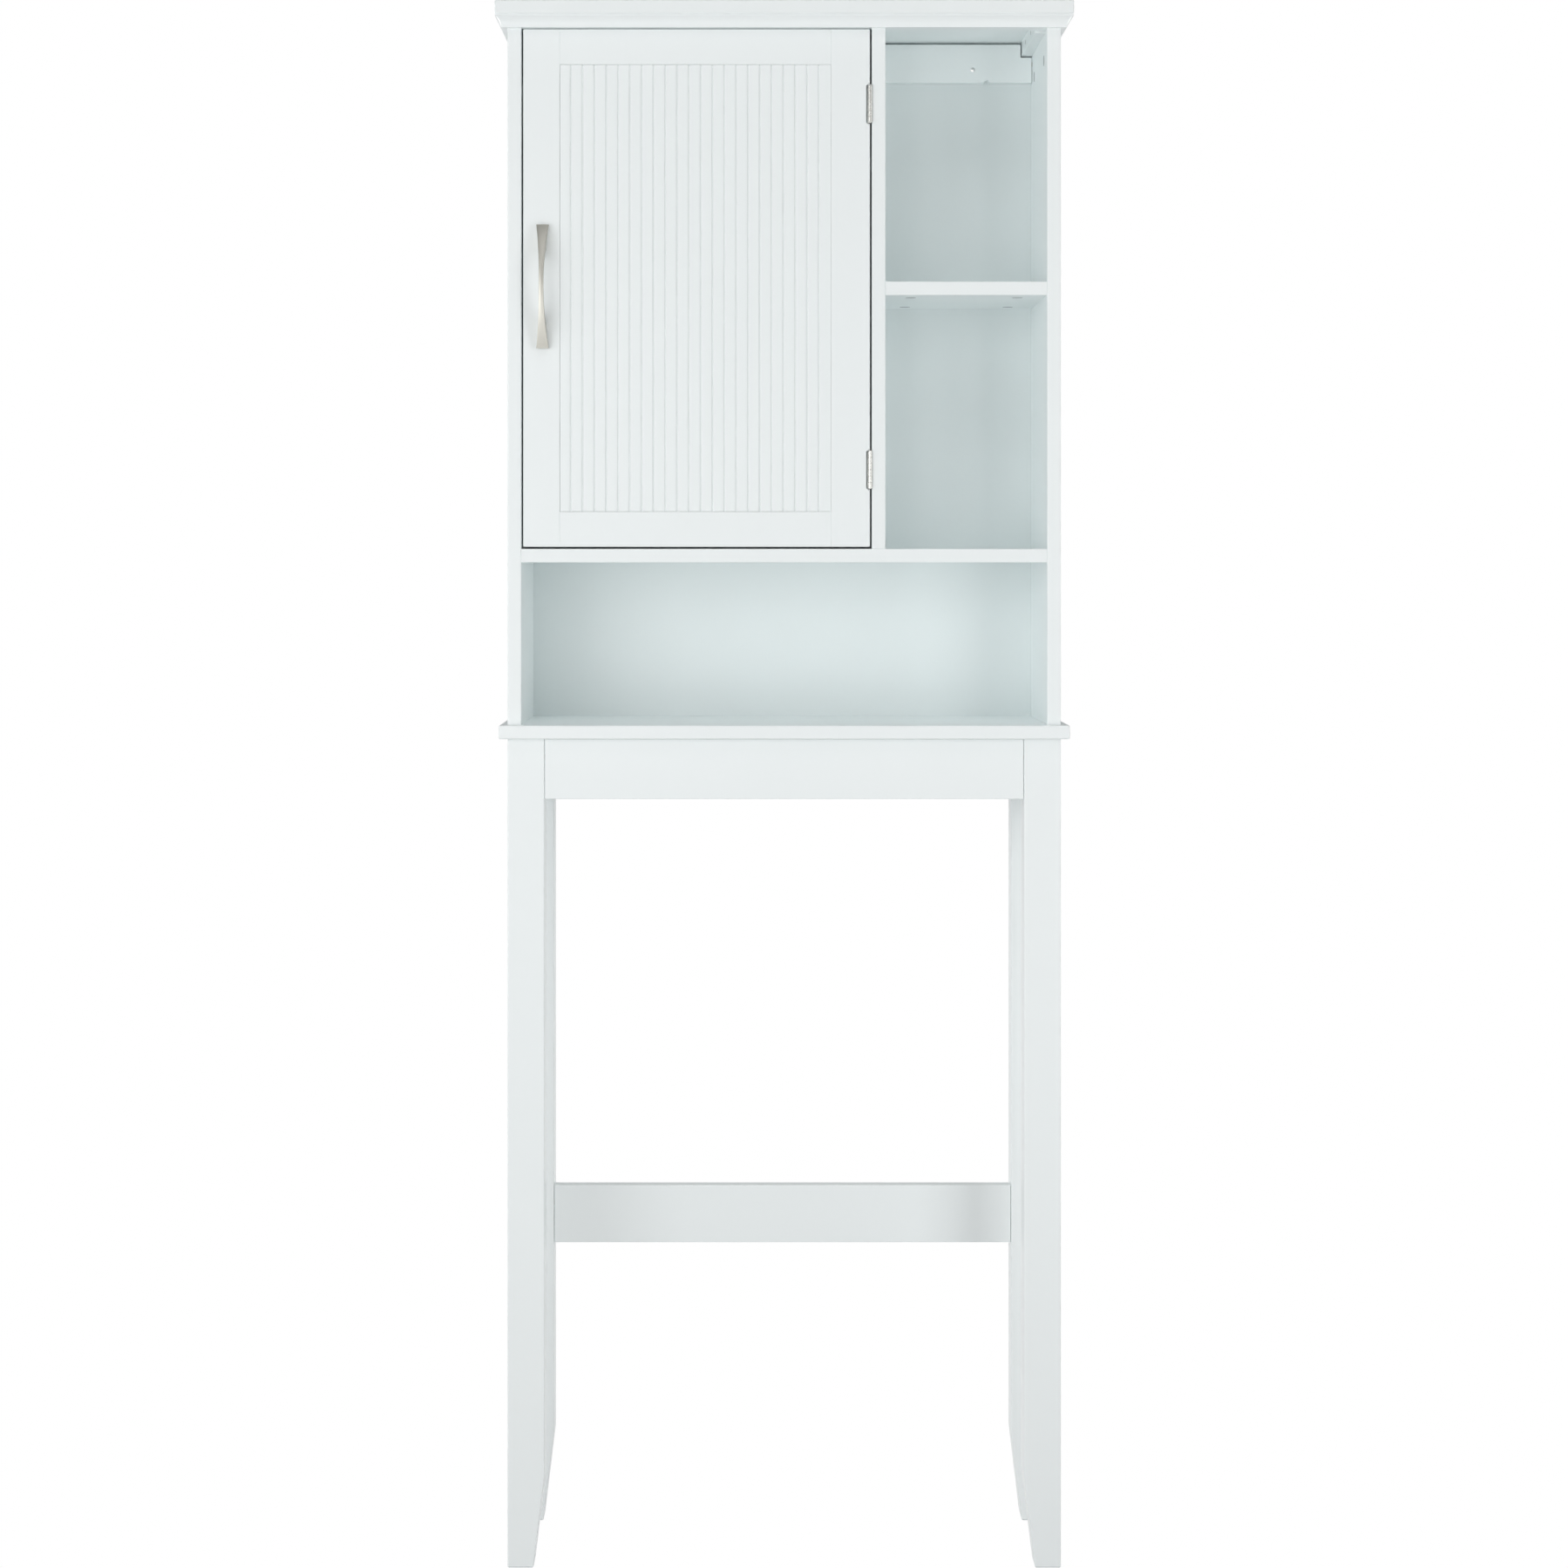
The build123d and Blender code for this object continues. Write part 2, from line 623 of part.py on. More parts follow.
# Magnetic catch: case and magnet on the side panel, strike plate on the back of the door.
catch_level = 1590.0
catch_front = door_back + 2.2
catch_width = 15.0
catch_depth = 20.0
catch_height = 46.0
catch_corner = 2.0
magnet_depth = 12.0
magnet_proud = 0.7
case = block((-inner, -inner + catch_width), (catch_front, catch_front + catch_depth),
             (catch_level - catch_height / 2, catch_level + catch_height / 2))
case = fillet(along(case, Axis.X), catch_corner)
magnet_x = (-inner + 4.0, -inner + 12.0)
magnet_z = (catch_level - 14.0, catch_level + 14.0)
pocket = block((magnet_x[0] - tight, magnet_x[1] + tight),
               (catch_front - 1, catch_front + magnet_depth + 0.1),
               (magnet_z[0] - tight, magnet_z[1] + tight))
pieces["catch_case"] = case - pocket
pieces["catch_magnet"] = block(magnet_x, (catch_front - magnet_proud, catch_front + magnet_depth),
                               magnet_z)
strike_thickness = 1.2
plate = block((-inner + 3.5, -inner + 14.5), (door_back, door_back + strike_thickness),
              (catch_level - 17.0, catch_level + 17.0))
pieces["strike_plate"] = fillet(along(plate, Axis.Y), catch_corner)
strike_screw = dict(length=12.0, radius=1.3, head_radius=2.6, head_height=1.2)
strike_head = (-inner + 9.0, door_back + strike_thickness, catch_level)
pieces["strike_screw"] = screw(strike_head, (0, -1, 0), **strike_screw)
drill([screw_hole(strike_head, (0, -1, 0), **strike_screw)], "strike_plate", "door_handle_stile")
catch_screws = []
case_screw = dict(length=22.0, radius=1.4, head_radius=2.8, head_height=2.0)
for offset in (-18.5, 18.5):
    head = (-inner + catch_width, catch_front + magnet_depth, catch_level + offset)
    catch_screws.append(screw(head, (-1, 0, 0), **case_screw))
    drill([screw_hole(head, (-1, 0, 0), **case_screw)], "catch_case", "left_side_panel")
pieces["catch_screws"] = group(catch_screws)

# Adjustable shelf on pins, with spare rows of pin holes above and below.
pin_columns = (door_back + 40.0, back_face - 30.0)
peg_radius = 2.5
peg_length = 16.0
peg_in_wall = 8.0
pin_hole_depth = 9.0
pin_row_pitch = 32.0
flange_radius = 4.0
flange_thickness = 1.4
shelf_bottom = cupboard_shelf_level - board
peg_level = shelf_bottom - peg_radius
pins = []
for wall, name, way in ((-inner, "left_side_panel", -1), (divider_left, "divider_panel", 1)):
    for y in pin_columns:
        for step in range(-2, 3):
            mouth = (wall - way, y, peg_level + step * pin_row_pitch)
            drill([rod(mouth, (way, 0, 0), pin_hole_depth + 1, peg_radius + tight)], name)
        peg = rod((wall - way * peg_in_wall, y, peg_level), (way, 0, 0), peg_length, peg_radius)
        flange = rod((wall - way * (flange_thickness + 0.1), y, peg_level), (way, 0, 0),
                     flange_thickness, flange_radius)
        below_shelf = block((-half, half), (front, back), (peg_level - 10, shelf_bottom - tight))
        pins.append(peg + (flange & below_shelf))
pieces["shelf_pins"] = group(pins)

# Fixed shelves and the divider, held by cams in their undersides and left face.
down = (0, 0, -1)
up = (0, 0, 1)
left = (-1, 0, 0)
right = (1, 0, 0)
cam_setback = 29.0
cam_rows = (front + 35.0, front + 155.0)
side_reach = 43.0                 # from the top board down to the cams in the uprights
mid = board / 2
for y in cam_rows:
    z = open_shelf_level - mid
    cam_joint("open_shelf", "divider_panel", (divider_right + cam_setback, y, z), down, left, cam_setback)
    cam_joint("open_shelf", "right_side_panel", (inner - cam_setback, y, z), down, right, cam_setback)
    z = middle_shelf_level - mid
    cam_joint("middle_shelf", "left_side_panel", (-inner + cam_setback, y, z), down, left, cam_setback)
    cam_joint("middle_shelf", "right_side_panel", (inner - cam_setback, y, z), down, right, cam_setback)
    z = cap_bottom - side_reach
    y_top = y if y < 0 else y - wall_rail_thickness
    cam_joint("left_side_panel", "top_board", (-inner - mid, y_top, z), right, up, side_reach)
    cam_joint("right_side_panel", "top_board", (inner + mid, y_top, z), left, up, side_reach)
    cam_joint("divider_panel", "top_board", (divider_left + mid, y_top, z), left, up, side_reach)
    connecting_screw("middle_shelf", "divider_panel",
                     (divider_left + mid, y + 8.0, middle_shelf_level - board), up)

# Cabinet to base top: screws up into the side panels, with dowels beside them.
for side, name in ((-1, "left_side_panel"), (1, "right_side_panel")):
    x = side * (inner + mid)
    for y in (front + 55.0, front + 135.0):
        connecting_screw("base_top", name, (x, y, base_bottom), up)
    for y in (front + 30.0, front + 160.0):
        dowel_joint("base_top", name, (x, y, base_top_level), up, length=24.0)
    wall_rail_end = (side * (inner - rail_end_gap / 2), back_face - wall_rail_thickness / 2,
                     rail_top - wall_rail_height / 2)
    dowel_joint("wall_rail", name, wall_rail_end, (side, 0, 0), length=20.0, radius=3.0)
    front_rail_end = (side * inner, front + mid, opening_top + cornice_height / 2)
    dowel_joint("front_top_rail", name, front_rail_end, (side, 0, 0), length=20.0, radius=3.0)

# Battens under the top board, screwed to the sides.
batten_screws = []
batten_screw = dict(length=22.0, radius=1.5, head_radius=3.0, head_height=2.0)
for side, name, batten in ((-1, "left_side_panel", "top_batten_left"),
                           (1, "right_side_panel", "top_batten_right")):
    for y in (front + 60.0, front + 120.0):
        head = (side * (inner - batten_width), y, cap_bottom - batten_height / 2)
        batten_screws.append(screw(head, (side, 0, 0), **batten_screw))
        drill([screw_hole(head, (side, 0, 0), **batten_screw)], name, batten)
pieces["batten_screws"] = group(batten_screws)

# Base: rails to legs, and the rails up into the base top.
leg_inner = half - leg_width
rail_end = leg_inner - joint_line
for name, way_out, y, level, suffix in (
        ("front_apron", (0, 1, 0), front + mid, apron_level, "front"),
        ("back_apron", (0, -1, 0), back - mid, apron_level, "back"),
        ("lower_stretcher", (0, 1, 0), stretcher_front + mid, stretcher_level, "back")):
    for side, hand in ((-1, "left"), (1, "right")):
        leg_name = "leg_" + suffix + "_" + hand
        cam_centre = (side * (rail_end - cam_setback), y, level + 20.0)
        cam_joint(name, leg_name, cam_centre, way_out, (side, 0, 0), cam_setback + joint_line)
        dowel_joint(name, leg_name, (side * leg_inner, y, level + 45.0), (side, 0, 0))
        if name != "lower_stretcher":
            cam_joint(name, "base_top", (side * 150.0, y, base_bottom - 32.0), way_out, up, 32.0)
for side, hand in ((-1, "left"), (1, "right")):
    x = side * (half - side_apron_setback - mid)
    for level in (apron_level + 18.0, apron_level + 47.0):
        for y, suffix in ((front + leg_depth, "front"), (back - leg_depth, "back")):
            dowel_joint("side_apron_" + hand, "leg_" + suffix + "_" + hand, (x, y, level), (0, 1, 0))

pieces["cam_locks"] = group(cams)
pieces["cam_bolts"] = group(bolts)
pieces["wood_dowels"] = group(dowels)
pieces["joint_screws"] = group(joint_screws)

# ---- output -------------------------------------------------------------------------------------
os.makedirs("parts", exist_ok=True)
for name, solid in pieces.items():
    export_step(solid, "parts/" + name + ".step")
print(len(pieces), "pieces")
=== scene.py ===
import math

import bmesh
import bpy
from bpy.props import FloatProperty, FloatVectorProperty, IntProperty, PointerProperty
from mathutils import Matrix, Vector


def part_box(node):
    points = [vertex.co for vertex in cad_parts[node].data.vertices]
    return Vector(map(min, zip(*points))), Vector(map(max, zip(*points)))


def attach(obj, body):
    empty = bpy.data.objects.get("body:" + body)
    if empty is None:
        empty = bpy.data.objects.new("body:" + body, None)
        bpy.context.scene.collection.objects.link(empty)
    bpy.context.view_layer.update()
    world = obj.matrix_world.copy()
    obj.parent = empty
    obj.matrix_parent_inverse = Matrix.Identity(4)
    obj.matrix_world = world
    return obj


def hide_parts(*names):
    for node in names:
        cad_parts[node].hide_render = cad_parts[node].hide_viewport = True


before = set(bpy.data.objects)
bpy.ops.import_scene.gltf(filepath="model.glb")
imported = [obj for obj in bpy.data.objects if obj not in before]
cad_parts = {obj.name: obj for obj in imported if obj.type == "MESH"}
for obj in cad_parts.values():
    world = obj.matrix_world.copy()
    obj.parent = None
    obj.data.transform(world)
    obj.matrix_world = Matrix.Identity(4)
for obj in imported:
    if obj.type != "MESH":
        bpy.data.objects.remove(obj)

bl_info = {
    "name": "Over the toilet storage rack",
    "version": (1, 0, 0),
    "blender": (4, 5, 0),
    "location": "3D View > Sidebar > Rack",
    "description": "Finishes a painted storage rack with a beaded door round its packed frame",
    "category": "Object",
}

MM = 0.001
UP = Vector((0, 0, 1))
TOUCH = 1e-7  # metres between points that count as one
LEVEL = 1e-6  # metres off a plane within which a point counts as on it
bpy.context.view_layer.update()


def low(node):
    """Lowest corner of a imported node."""
    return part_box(node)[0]


def high(node):
    """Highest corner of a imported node."""
    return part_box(node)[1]


def middle_of(node):
    """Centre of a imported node."""
    return (low(node) + high(node)) / 2


BOARD = high("middle_shelf").z - low("middle_shelf").z
FRONT = low("left_side_panel").y
PANEL_SETBACK = 0.8 * MM
PANEL_FACE = FRONT + PANEL_SETBACK
INNER = high("middle_shelf").x
DIVIDER = (low("divider_panel").x, high("divider_panel").x)
CAP_BOTTOM = low("top_board").z
BASE_BOTTOM = low("base_top").z
LEAF_OFFSET = 0.1 * MM  # from the side of a hinge's barrel to the outer face of its leaf

# finish: colour among the metal settings, roughness, grain along x, y and z, grain depth in mm
METALS = {"satin_nickel": ("handle", 0.52, (1.0, 1.0, 0.05), 0.004),
          "hinge_nickel": ("hinge", 0.24, (1.0, 1.0, 0.30), 0.003),
          "plated_steel": ("steel", 0.30, (1.0, 1.0, 1.0), 0.003),
          "zinc_steel": ("steel", 0.38, (0.4, 0.4, 1.0), 0.004),
          "cast_zinc": ("zinc", 0.46, (0.5, 0.5, 0.5), 0.012),
          "magnet_steel": ("magnet", 0.42, (1.0, 1.0, 1.0), 0.006)}

# countersunk screw: length, thread radius, head radius and head height in mm
SCREWS = {"hinge": (12.0, 1.1, 2.3, 1.2), "strike": (12.0, 1.3, 2.6, 1.2),
          "catch": (22.0, 1.4, 2.8, 2.0), "batten": (22.0, 1.5, 3.0, 2.0),
          "joint": (50.0, 2.4, 4.8, 3.0)}


# ---- settings -----------------------------------------------------------------------------------
def length(name, description, millimetres):
    """A length that the user may change."""
    return FloatProperty(name=name, description=description, default=millimetres * MM,
                         min=0.0, subtype="DISTANCE", unit="LENGTH", precision=4)


def share(name, description, value):
    """A value from nothing to all."""
    return FloatProperty(name=name, description=description, default=value, min=0.0, max=1.0,
                         subtype="FACTOR")


def tint(name, description, value):
    """A colour that the user may change."""
    return FloatVectorProperty(name=name, description=description, default=value, size=3,
                               min=0.0, max=1.0, subtype="COLOR")


class PaintSettings(bpy.types.PropertyGroup):
    """Satin lacquer on the boards."""
    pale: tint("Paint", "Main colour of the lacquer", (0.900, 0.940, 0.941))
    shade: tint("Paint, second tone", "Tone that the lacquer drifts to", (0.886, 0.928, 0.931))
    # Painted shade: the darker tone painted down in the grooves to stand in for the shadow that
    # falls there.
    groove_shade: tint("Paint, grooves", "Tone down in the grooves", (0.790, 0.828, 0.830))
    gloss: share("Roughness", "Roughness of the lacquer", 0.36)
    peel_depth: length("Peel depth", "Height of the spray texture", 0.012)


class BackSettings(bpy.types.PropertyGroup):
    """Hardboard back with a white face."""
    face: tint("Face", "Colour of the foil on the front", (0.822, 0.871, 0.873))
    fibre: tint("Reverse", "Colour of the bare fibres on the reverse", (0.480, 0.345, 0.225))
    fibre_dark: tint("Reverse, dark", "Colour of the darker fibres", (0.330, 0.225, 0.140))
    weave: length("Texture pitch", "Pitch of the pressed texture", 1.1)


class MetalSettings(bpy.types.PropertyGroup):
    """Nickel, steel and zinc."""
    handle: tint("Handle", "Satin nickel", (0.590, 0.580, 0.530))
    hinge: tint("Hinges", "Nickel plate", (0.700, 0.700, 0.670))
    steel: tint("Screws", "Plated steel", (0.560, 0.565, 0.570))
    zinc: tint("Cams", "Cast zinc", (0.500, 0.510, 0.520))
    magnet: tint("Magnet", "Steel of the catch's magnet", (0.200, 0.200, 0.210))


class PanelSettings(bpy.types.PropertyGroup):
    """Beaded panel in the door."""
    beads: IntProperty(name="Grooves", description="Number of bead grooves", default=22, min=1)
    pitch: length("Pitch", "Distance between grooves", 12.81)
    first: length("First groove", "From the frame to the first groove", 11.8)
    half_width: length("Half width", "Half the width of a groove with its rounded lips", 1.45)
    depth: length("Depth", "Depth of a groove", 1.05)


class HandleSettings(bpy.types.PropertyGroup):
    """Bow handle, waisted at the middle."""
    waist: length("Waist", "Width at the middle", 5.0)
    thickness: length("Thickness", "Thickness at the middle of the bow", 5.5)
    foot: length("Foot", "From the middle to the inner edge of a foot", 40.0)
    tip_out: length("Tip", "How far the tips' front edge is off the door", 6.0)
    rounding: length("Rounding", "Radius of the long edges", 1.45)
    crown: length("Crown", "Rise of the front face between its edges", 0.35)


class HingeSettings(bpy.types.PropertyGroup):
    """Butt hinges."""
    knuckles: IntProperty(name="Knuckles", description="Number of knuckles", default=6, min=3)
    barrel: length("Barrel radius", "Radius of the knuckles", 2.35)
    pin: length("Pin radius", "Radius of the pin", 1.0)
    leaf: length("Leaf", "Thickness of a leaf", 1.2)
    gap: length("Gap", "Gap between knuckles", 0.22)


class StageSettings(bpy.types.PropertyGroup):
    """Camera and light."""
    eye: FloatVectorProperty(name="Eye", description="Where the camera stands", size=3,
                             default=(-0.0379, -3.2434, 1.0997), subtype="TRANSLATION",
                             unit="LENGTH")
    lens: FloatProperty(name="Focal length", description="Focal length of the lens", default=66.97,
                        subtype="DISTANCE_CAMERA")
    shift: FloatVectorProperty(name="Shift", description="Lens shift across and up", size=2,
                               default=(0.02216, -0.14690))
    power: FloatProperty(name="Light", description="Power of all the soft lights together",
                         default=111.0, subtype="POWER", unit="POWER")
    sky: share("Surrounding light", "Strength of the light from all round", 0.05)
    glow: share("Floor", "Brightness of the floor that the camera sees", 1.0)


# ---- shading ------------------------------------------------------------------------------------
class Shade:
    """An output socket in a node tree. Arithmetic on it adds Math nodes."""

    def __init__(self, tree, socket=None):
        self.tree = tree
        self.socket = socket

    def node(self, kind, settings, sockets, output=0):
        """Adds a node: its settings first, then the values or links of its sockets."""
        made = self.tree.nodes.new(kind)
        for name, value in settings.items():
            if name == "stops":
                elements = made.color_ramp.elements
                while len(elements) < len(value):
                    elements.new(0.5)
                for element, (position, colour) in zip(elements, value):
                    element.position = position
                    element.color = (*colour, 1.0)
            else:
                setattr(made, name, value)
        for name, value in sockets.items():
            if isinstance(value, Shade):
                self.tree.links.new(value.socket, made.inputs[name])
            else:
                made.inputs[name].default_value = value
        return Shade(self.tree, made.outputs[output] if made.outputs else None)

    def maths(self, operation, first, second):
        """Adds a Math node."""
        return self.node("ShaderNodeMath", {"operation": operation}, {0: first, 1: second})

    def __add__(self, other):
        return self.maths("ADD", self, other)

    __radd__ = __add__

    def __sub__(self, other):
        return self.maths("SUBTRACT", self, other)

    def __rsub__(self, other):
        return self.maths("SUBTRACT", other, self)

    def __mul__(self, other):
        return self.maths("MULTIPLY", self, other)

    __rmul__ = __mul__

    def __gt__(self, other):
        return self.maths("GREATER_THAN", self, other)


class Finish(Shade):
    """A material being made, with the patterns that several finishes share."""

    def __init__(self, name, **constants):
        self.material = bpy.data.materials.new(name)
        self.material.use_nodes = True
        super().__init__(self.material.node_tree)
        self.shader = self.tree.nodes["Principled BSDF"]
        self.place = self.node("ShaderNodeTexCoord", {}, {}, "Object")
        self.feed(**constants)

    def feed(self, **values):
        """Sets or links the shader's sockets, named with underscores for spaces."""
        for name, value in values.items():
            socket = self.shader.inputs[name.replace("_", " ")]
            if isinstance(value, Shade):
                self.tree.links.new(value.socket, socket)
            else:
                socket.default_value = value

    def stretched(self, scale):
        """The place with each axis scaled, so that a pattern runs along one of them."""
        return self.node("ShaderNodeMapping", {}, {"Vector": self.place, "Scale": scale})

    def noise(self, scale, detail=2.0, roughness=0.5, place=None):
        """Cloudy values about a half, with scale in patches to the metre."""
        sockets = {"Vector": place or self.place, "Scale": scale, "Detail": detail,
                   "Roughness": roughness}
        return self.node("ShaderNodeTexNoise", {}, sockets, "Fac")

    def between(self, mask, first, second):
        """A colour between two colours."""
        first, second = (c if isinstance(c, Shade) else (*c, 1.0) for c in (first, second))
        return self.node("ShaderNodeMix", {"data_type": "RGBA"}, {0: mask, 6: first, 7: second}, 2)

    def ramp(self, value, *stops):
        """A mask or colour from stops of position and grey."""
        greys = [(position, (grey, grey, grey)) for position, grey in stops]
        return self.node("ShaderNodeValToRGB", {"stops": greys}, {"Fac": value})

    def bump(self, height, depth):
        """A normal tilted by a height field of that depth."""
        sockets = {"Height": height, "Distance": depth, "Strength": 1.0}
        return self.node("ShaderNodeBump", {}, sockets)

    def axis(self, name):
        """One coordinate of the place."""
        return self.node("ShaderNodeSeparateXYZ", {}, {"Vector": self.place}, name)


def painted(name, settings, groove_depth=0.0):
    """Sprayed satin lacquer: slow drift in tone, fine peel and a ripple; with a groove depth,
    painted shade darker down a groove.
    """
    paint = Finish(name, Coat_Roughness=0.22, IOR=1.46)
    drift = paint.noise(scale=2.6, detail=3.0)
    speck = paint.noise(scale=420.0)
    mask = paint.ramp(drift * 0.8 + speck * 0.2, (0.36, 0.0), (0.64, 1.0))
    colour = paint.between(mask, settings.pale, settings.shade)
    # Painted shade: inside a groove the lacquer's colour is blended to a darker tone, standing in
    # for the shadow there.
    if groove_depth:
        solid = 0.5 * MM
        behind = paint.axis("Y") > PANEL_FACE + groove_depth + solid
        sunk = (paint.axis("Y") - PANEL_FACE) * (1.0 / groove_depth)
        inside = paint.ramp(sunk, (0.20, 0.0), (0.75, 1.0)) * (1 - behind)
        colour = paint.between(inside, colour, settings.groove_shade)
    paint.feed(Base_Color=colour)
    peel = paint.noise(scale=900.0, detail=1.0)
    ripple = paint.noise(scale=46.0)
    haze = paint.noise(scale=9.0, detail=3.0)
    paint.feed(Roughness=settings.gloss - 0.05 + 0.10 * haze)
    paint.feed(Normal=paint.bump(peel + ripple * 3.0, settings.peel_depth))
    return paint.material


def white_paint():
    """The lacquer of every board."""
    return painted("white_paint", bpy.context.scene.rack_paint)


def grooved_paint():
    """The same lacquer on the beaded panel, with painted shade down its grooves."""
    scene = bpy.context.scene
    return painted("grooved_paint", scene.rack_paint, scene.rack_panel.depth)


def white_hardboard():
    """White pressed face; bare brown fibres on the reverse."""
    settings = bpy.context.scene.rack_back
    board = Finish("white_hardboard", IOR=1.46)
    skin = 0.2 * MM
    reverse = board.axis("Y") > high("back_panel").y - skin
    drift = board.noise(scale=3.0, detail=3.0)
    tone = board.ramp(drift, (0.35, 0.97), (0.65, 1.0))
    face = board.node("ShaderNodeMix", {"data_type": "RGBA", "blend_type": "MULTIPLY"},
                      {0: 1.0, 6: (*settings.face, 1.0), 7: tone}, 2)
    strands = board.noise(scale=160.0, detail=4.0, roughness=0.65,
                          place=board.stretched((1.0, 1.0, 0.22)))
    flecks = board.noise(scale=520.0, roughness=0.6, place=board.stretched((0.35, 1.0, 1.0)))
    fibre_mask = board.ramp(strands * 0.6 + flecks * 0.4, (0.38, 0.0), (0.62, 1.0))
    fibres = board.between(fibre_mask, settings.fibre_dark, settings.fibre)
    board.feed(Base_Color=board.between(reverse, face, fibres))
    board.feed(Roughness=0.44 + 0.34 * reverse + 0.08 * flecks)
    weave = 1.0 / settings.weave
    across = board.noise(scale=weave, detail=1.0, roughness=0.4,
                         place=board.stretched((1.0, 1.0, 0.35)))
    down = board.noise(scale=weave, detail=1.0, roughness=0.4,
                       place=board.stretched((0.35, 1.0, 1.0)))
    pressed = across + down
    relief = pressed * (1 - reverse) + (strands + flecks * 2.0) * reverse * 3.0
    board.feed(Normal=board.bump(relief, depth=0.035 * MM))
    return board.material


def metal(name):
    """Plated metal: cloudy sheen and a grain along one axis."""
    tone, roughness, grain, grain_depth = METALS[name]
    colour = getattr(bpy.context.scene.rack_metal, tone)
    plate = Finish(name, Metallic=1.0)
    cloud = plate.noise(scale=140.0, detail=3.0)
    lines = plate.noise(scale=2600.0, roughness=0.6, place=plate.stretched(grain))
    dull = tuple(0.88 * c for c in colour)
    plate.feed(Base_Color=plate.between(cloud * 0.6 + lines * 0.4, dull, colour))
    plate.feed(Roughness=roughness - 0.06 + 0.12 * (cloud * 0.5 + lines * 0.5))
    plate.feed(Normal=plate.bump(lines, depth=grain_depth * MM))
    return plate.material


def beech():
    """Pale turned wood with short dark flecks."""
    wood = Finish("beech", Specular_IOR_Level=0.35)
    rings = wood.noise(scale=90.0, detail=3.0, roughness=0.55,
                       place=wood.stretched((0.25, 0.25, 1.0)))
    streaks = wood.noise(scale=900.0, place=wood.stretched((0.2, 0.2, 1.0)))
    flecks = wood.ramp(streaks, (0.60, 0.0), (0.72, 1.0))
    pale = wood.between(rings, (0.62, 0.42, 0.24), (0.52, 0.33, 0.18))
    wood.feed(Base_Color=wood.between(flecks * 0.6, pale, (0.30, 0.17, 0.08)))
    wood.feed(Roughness=0.55 + 0.15 * rings)
    wood.feed(Normal=wood.bump(rings + flecks, depth=0.03 * MM))
    return wood.material


def white_plastic():
    """Moulded plastic with a fine spark texture."""
    plastic = Finish("white_plastic", IOR=1.5)
    spark = plastic.noise(scale=1500.0, roughness=0.6)
    cloud = plastic.noise(scale=60.0)
    plastic.feed(Base_Color=plastic.between(cloud, (0.80, 0.81, 0.80), (0.74, 0.75, 0.74)))
    plastic.feed(Roughness=0.34 + 0.14 * spark)
    plastic.feed(Normal=plastic.bump(spark, depth=0.01 * MM))
    return plastic.material


FINISHES = {made.__name__: made for made in (white_paint, grooved_paint, white_hardboard, beech,
                                             white_plastic)}


def finish(name):
    """The material of that name, made when it is first wanted."""
    found = bpy.data.materials.get("rack_" + name)
    if found is None:
        found = metal(name) if name in METALS else FINISHES[name]()
        found.name = "rack_" + name
    return found


# ---- shaping ------------------------------------------------------------------------------------
def box(bm, corner, opposite):
    """Adds a box between two corners and returns its vertices."""
    corner, opposite = Vector(corner), Vector(opposite)
    made = bmesh.ops.create_cube(bm, size=1.0)["verts"]
    bmesh.ops.scale(bm, vec=opposite - corner, verts=made)
    bmesh.ops.translate(bm, vec=(corner + opposite) / 2, verts=made)
    return made


def once(elements):
    """A list of elements in the order given, with no repeats."""
    return list(dict.fromkeys(elements))


def edges_of(verts):
    """The edges whose two ends are both among some vertices."""
    chosen = set(verts)
    return once(e for v in verts for e in v.link_edges if e.other_vert(v) in chosen)


def bevel(bm, edges, width, segments=3):
    """Rounds edges."""
    bmesh.ops.bevel(bm, geom=edges, offset=width, offset_type="OFFSET", segments=segments,
                    profile=0.5, affect="EDGES", clamp_overlap=True, material=-1)


def cut(bm, geom, point, normal):
    """Cuts some geometry with a plane and keeps both sides."""
    bmesh.ops.bisect_plane(bm, geom=geom, dist=TOUCH, plane_co=point, plane_no=normal)


def whole(bm):
    """All of a mesh, as geometry to cut."""
    return bm.verts[:] + bm.edges[:] + bm.faces[:]


def turned(bm, profile, steps=28, closed=False):
    """Spins a profile of radius and height round +Z. A closed profile makes a tube."""
    verts = [bm.verts.new((radius, 0, height)) for radius, height in profile]
    pairs = list(zip(verts, verts[1:])) + ([(verts[-1], verts[0])] if closed else [])
    edges = [bm.edges.new(pair) for pair in pairs]
    bmesh.ops.spin(bm, geom=verts + edges, cent=(0, 0, 0), axis=UP, dvec=(0, 0, 0),
                   angle=math.tau, steps=steps, use_merge=True)
    bmesh.ops.remove_doubles(bm, verts=bm.verts, dist=TOUCH)
    bmesh.ops.dissolve_degenerate(bm, edges=bm.edges, dist=TOUCH / 10)


def fill_holes(bm):
    """Closes every open rim with a flat face."""
    bmesh.ops.holes_fill(bm, edges=[e for e in bm.edges if e.is_boundary], sides=0)


def is_head(face):
    """Whether a face of a screw lies at height nought."""
    return all(abs(vert.co.z) < TOUCH for vert in face.verts)


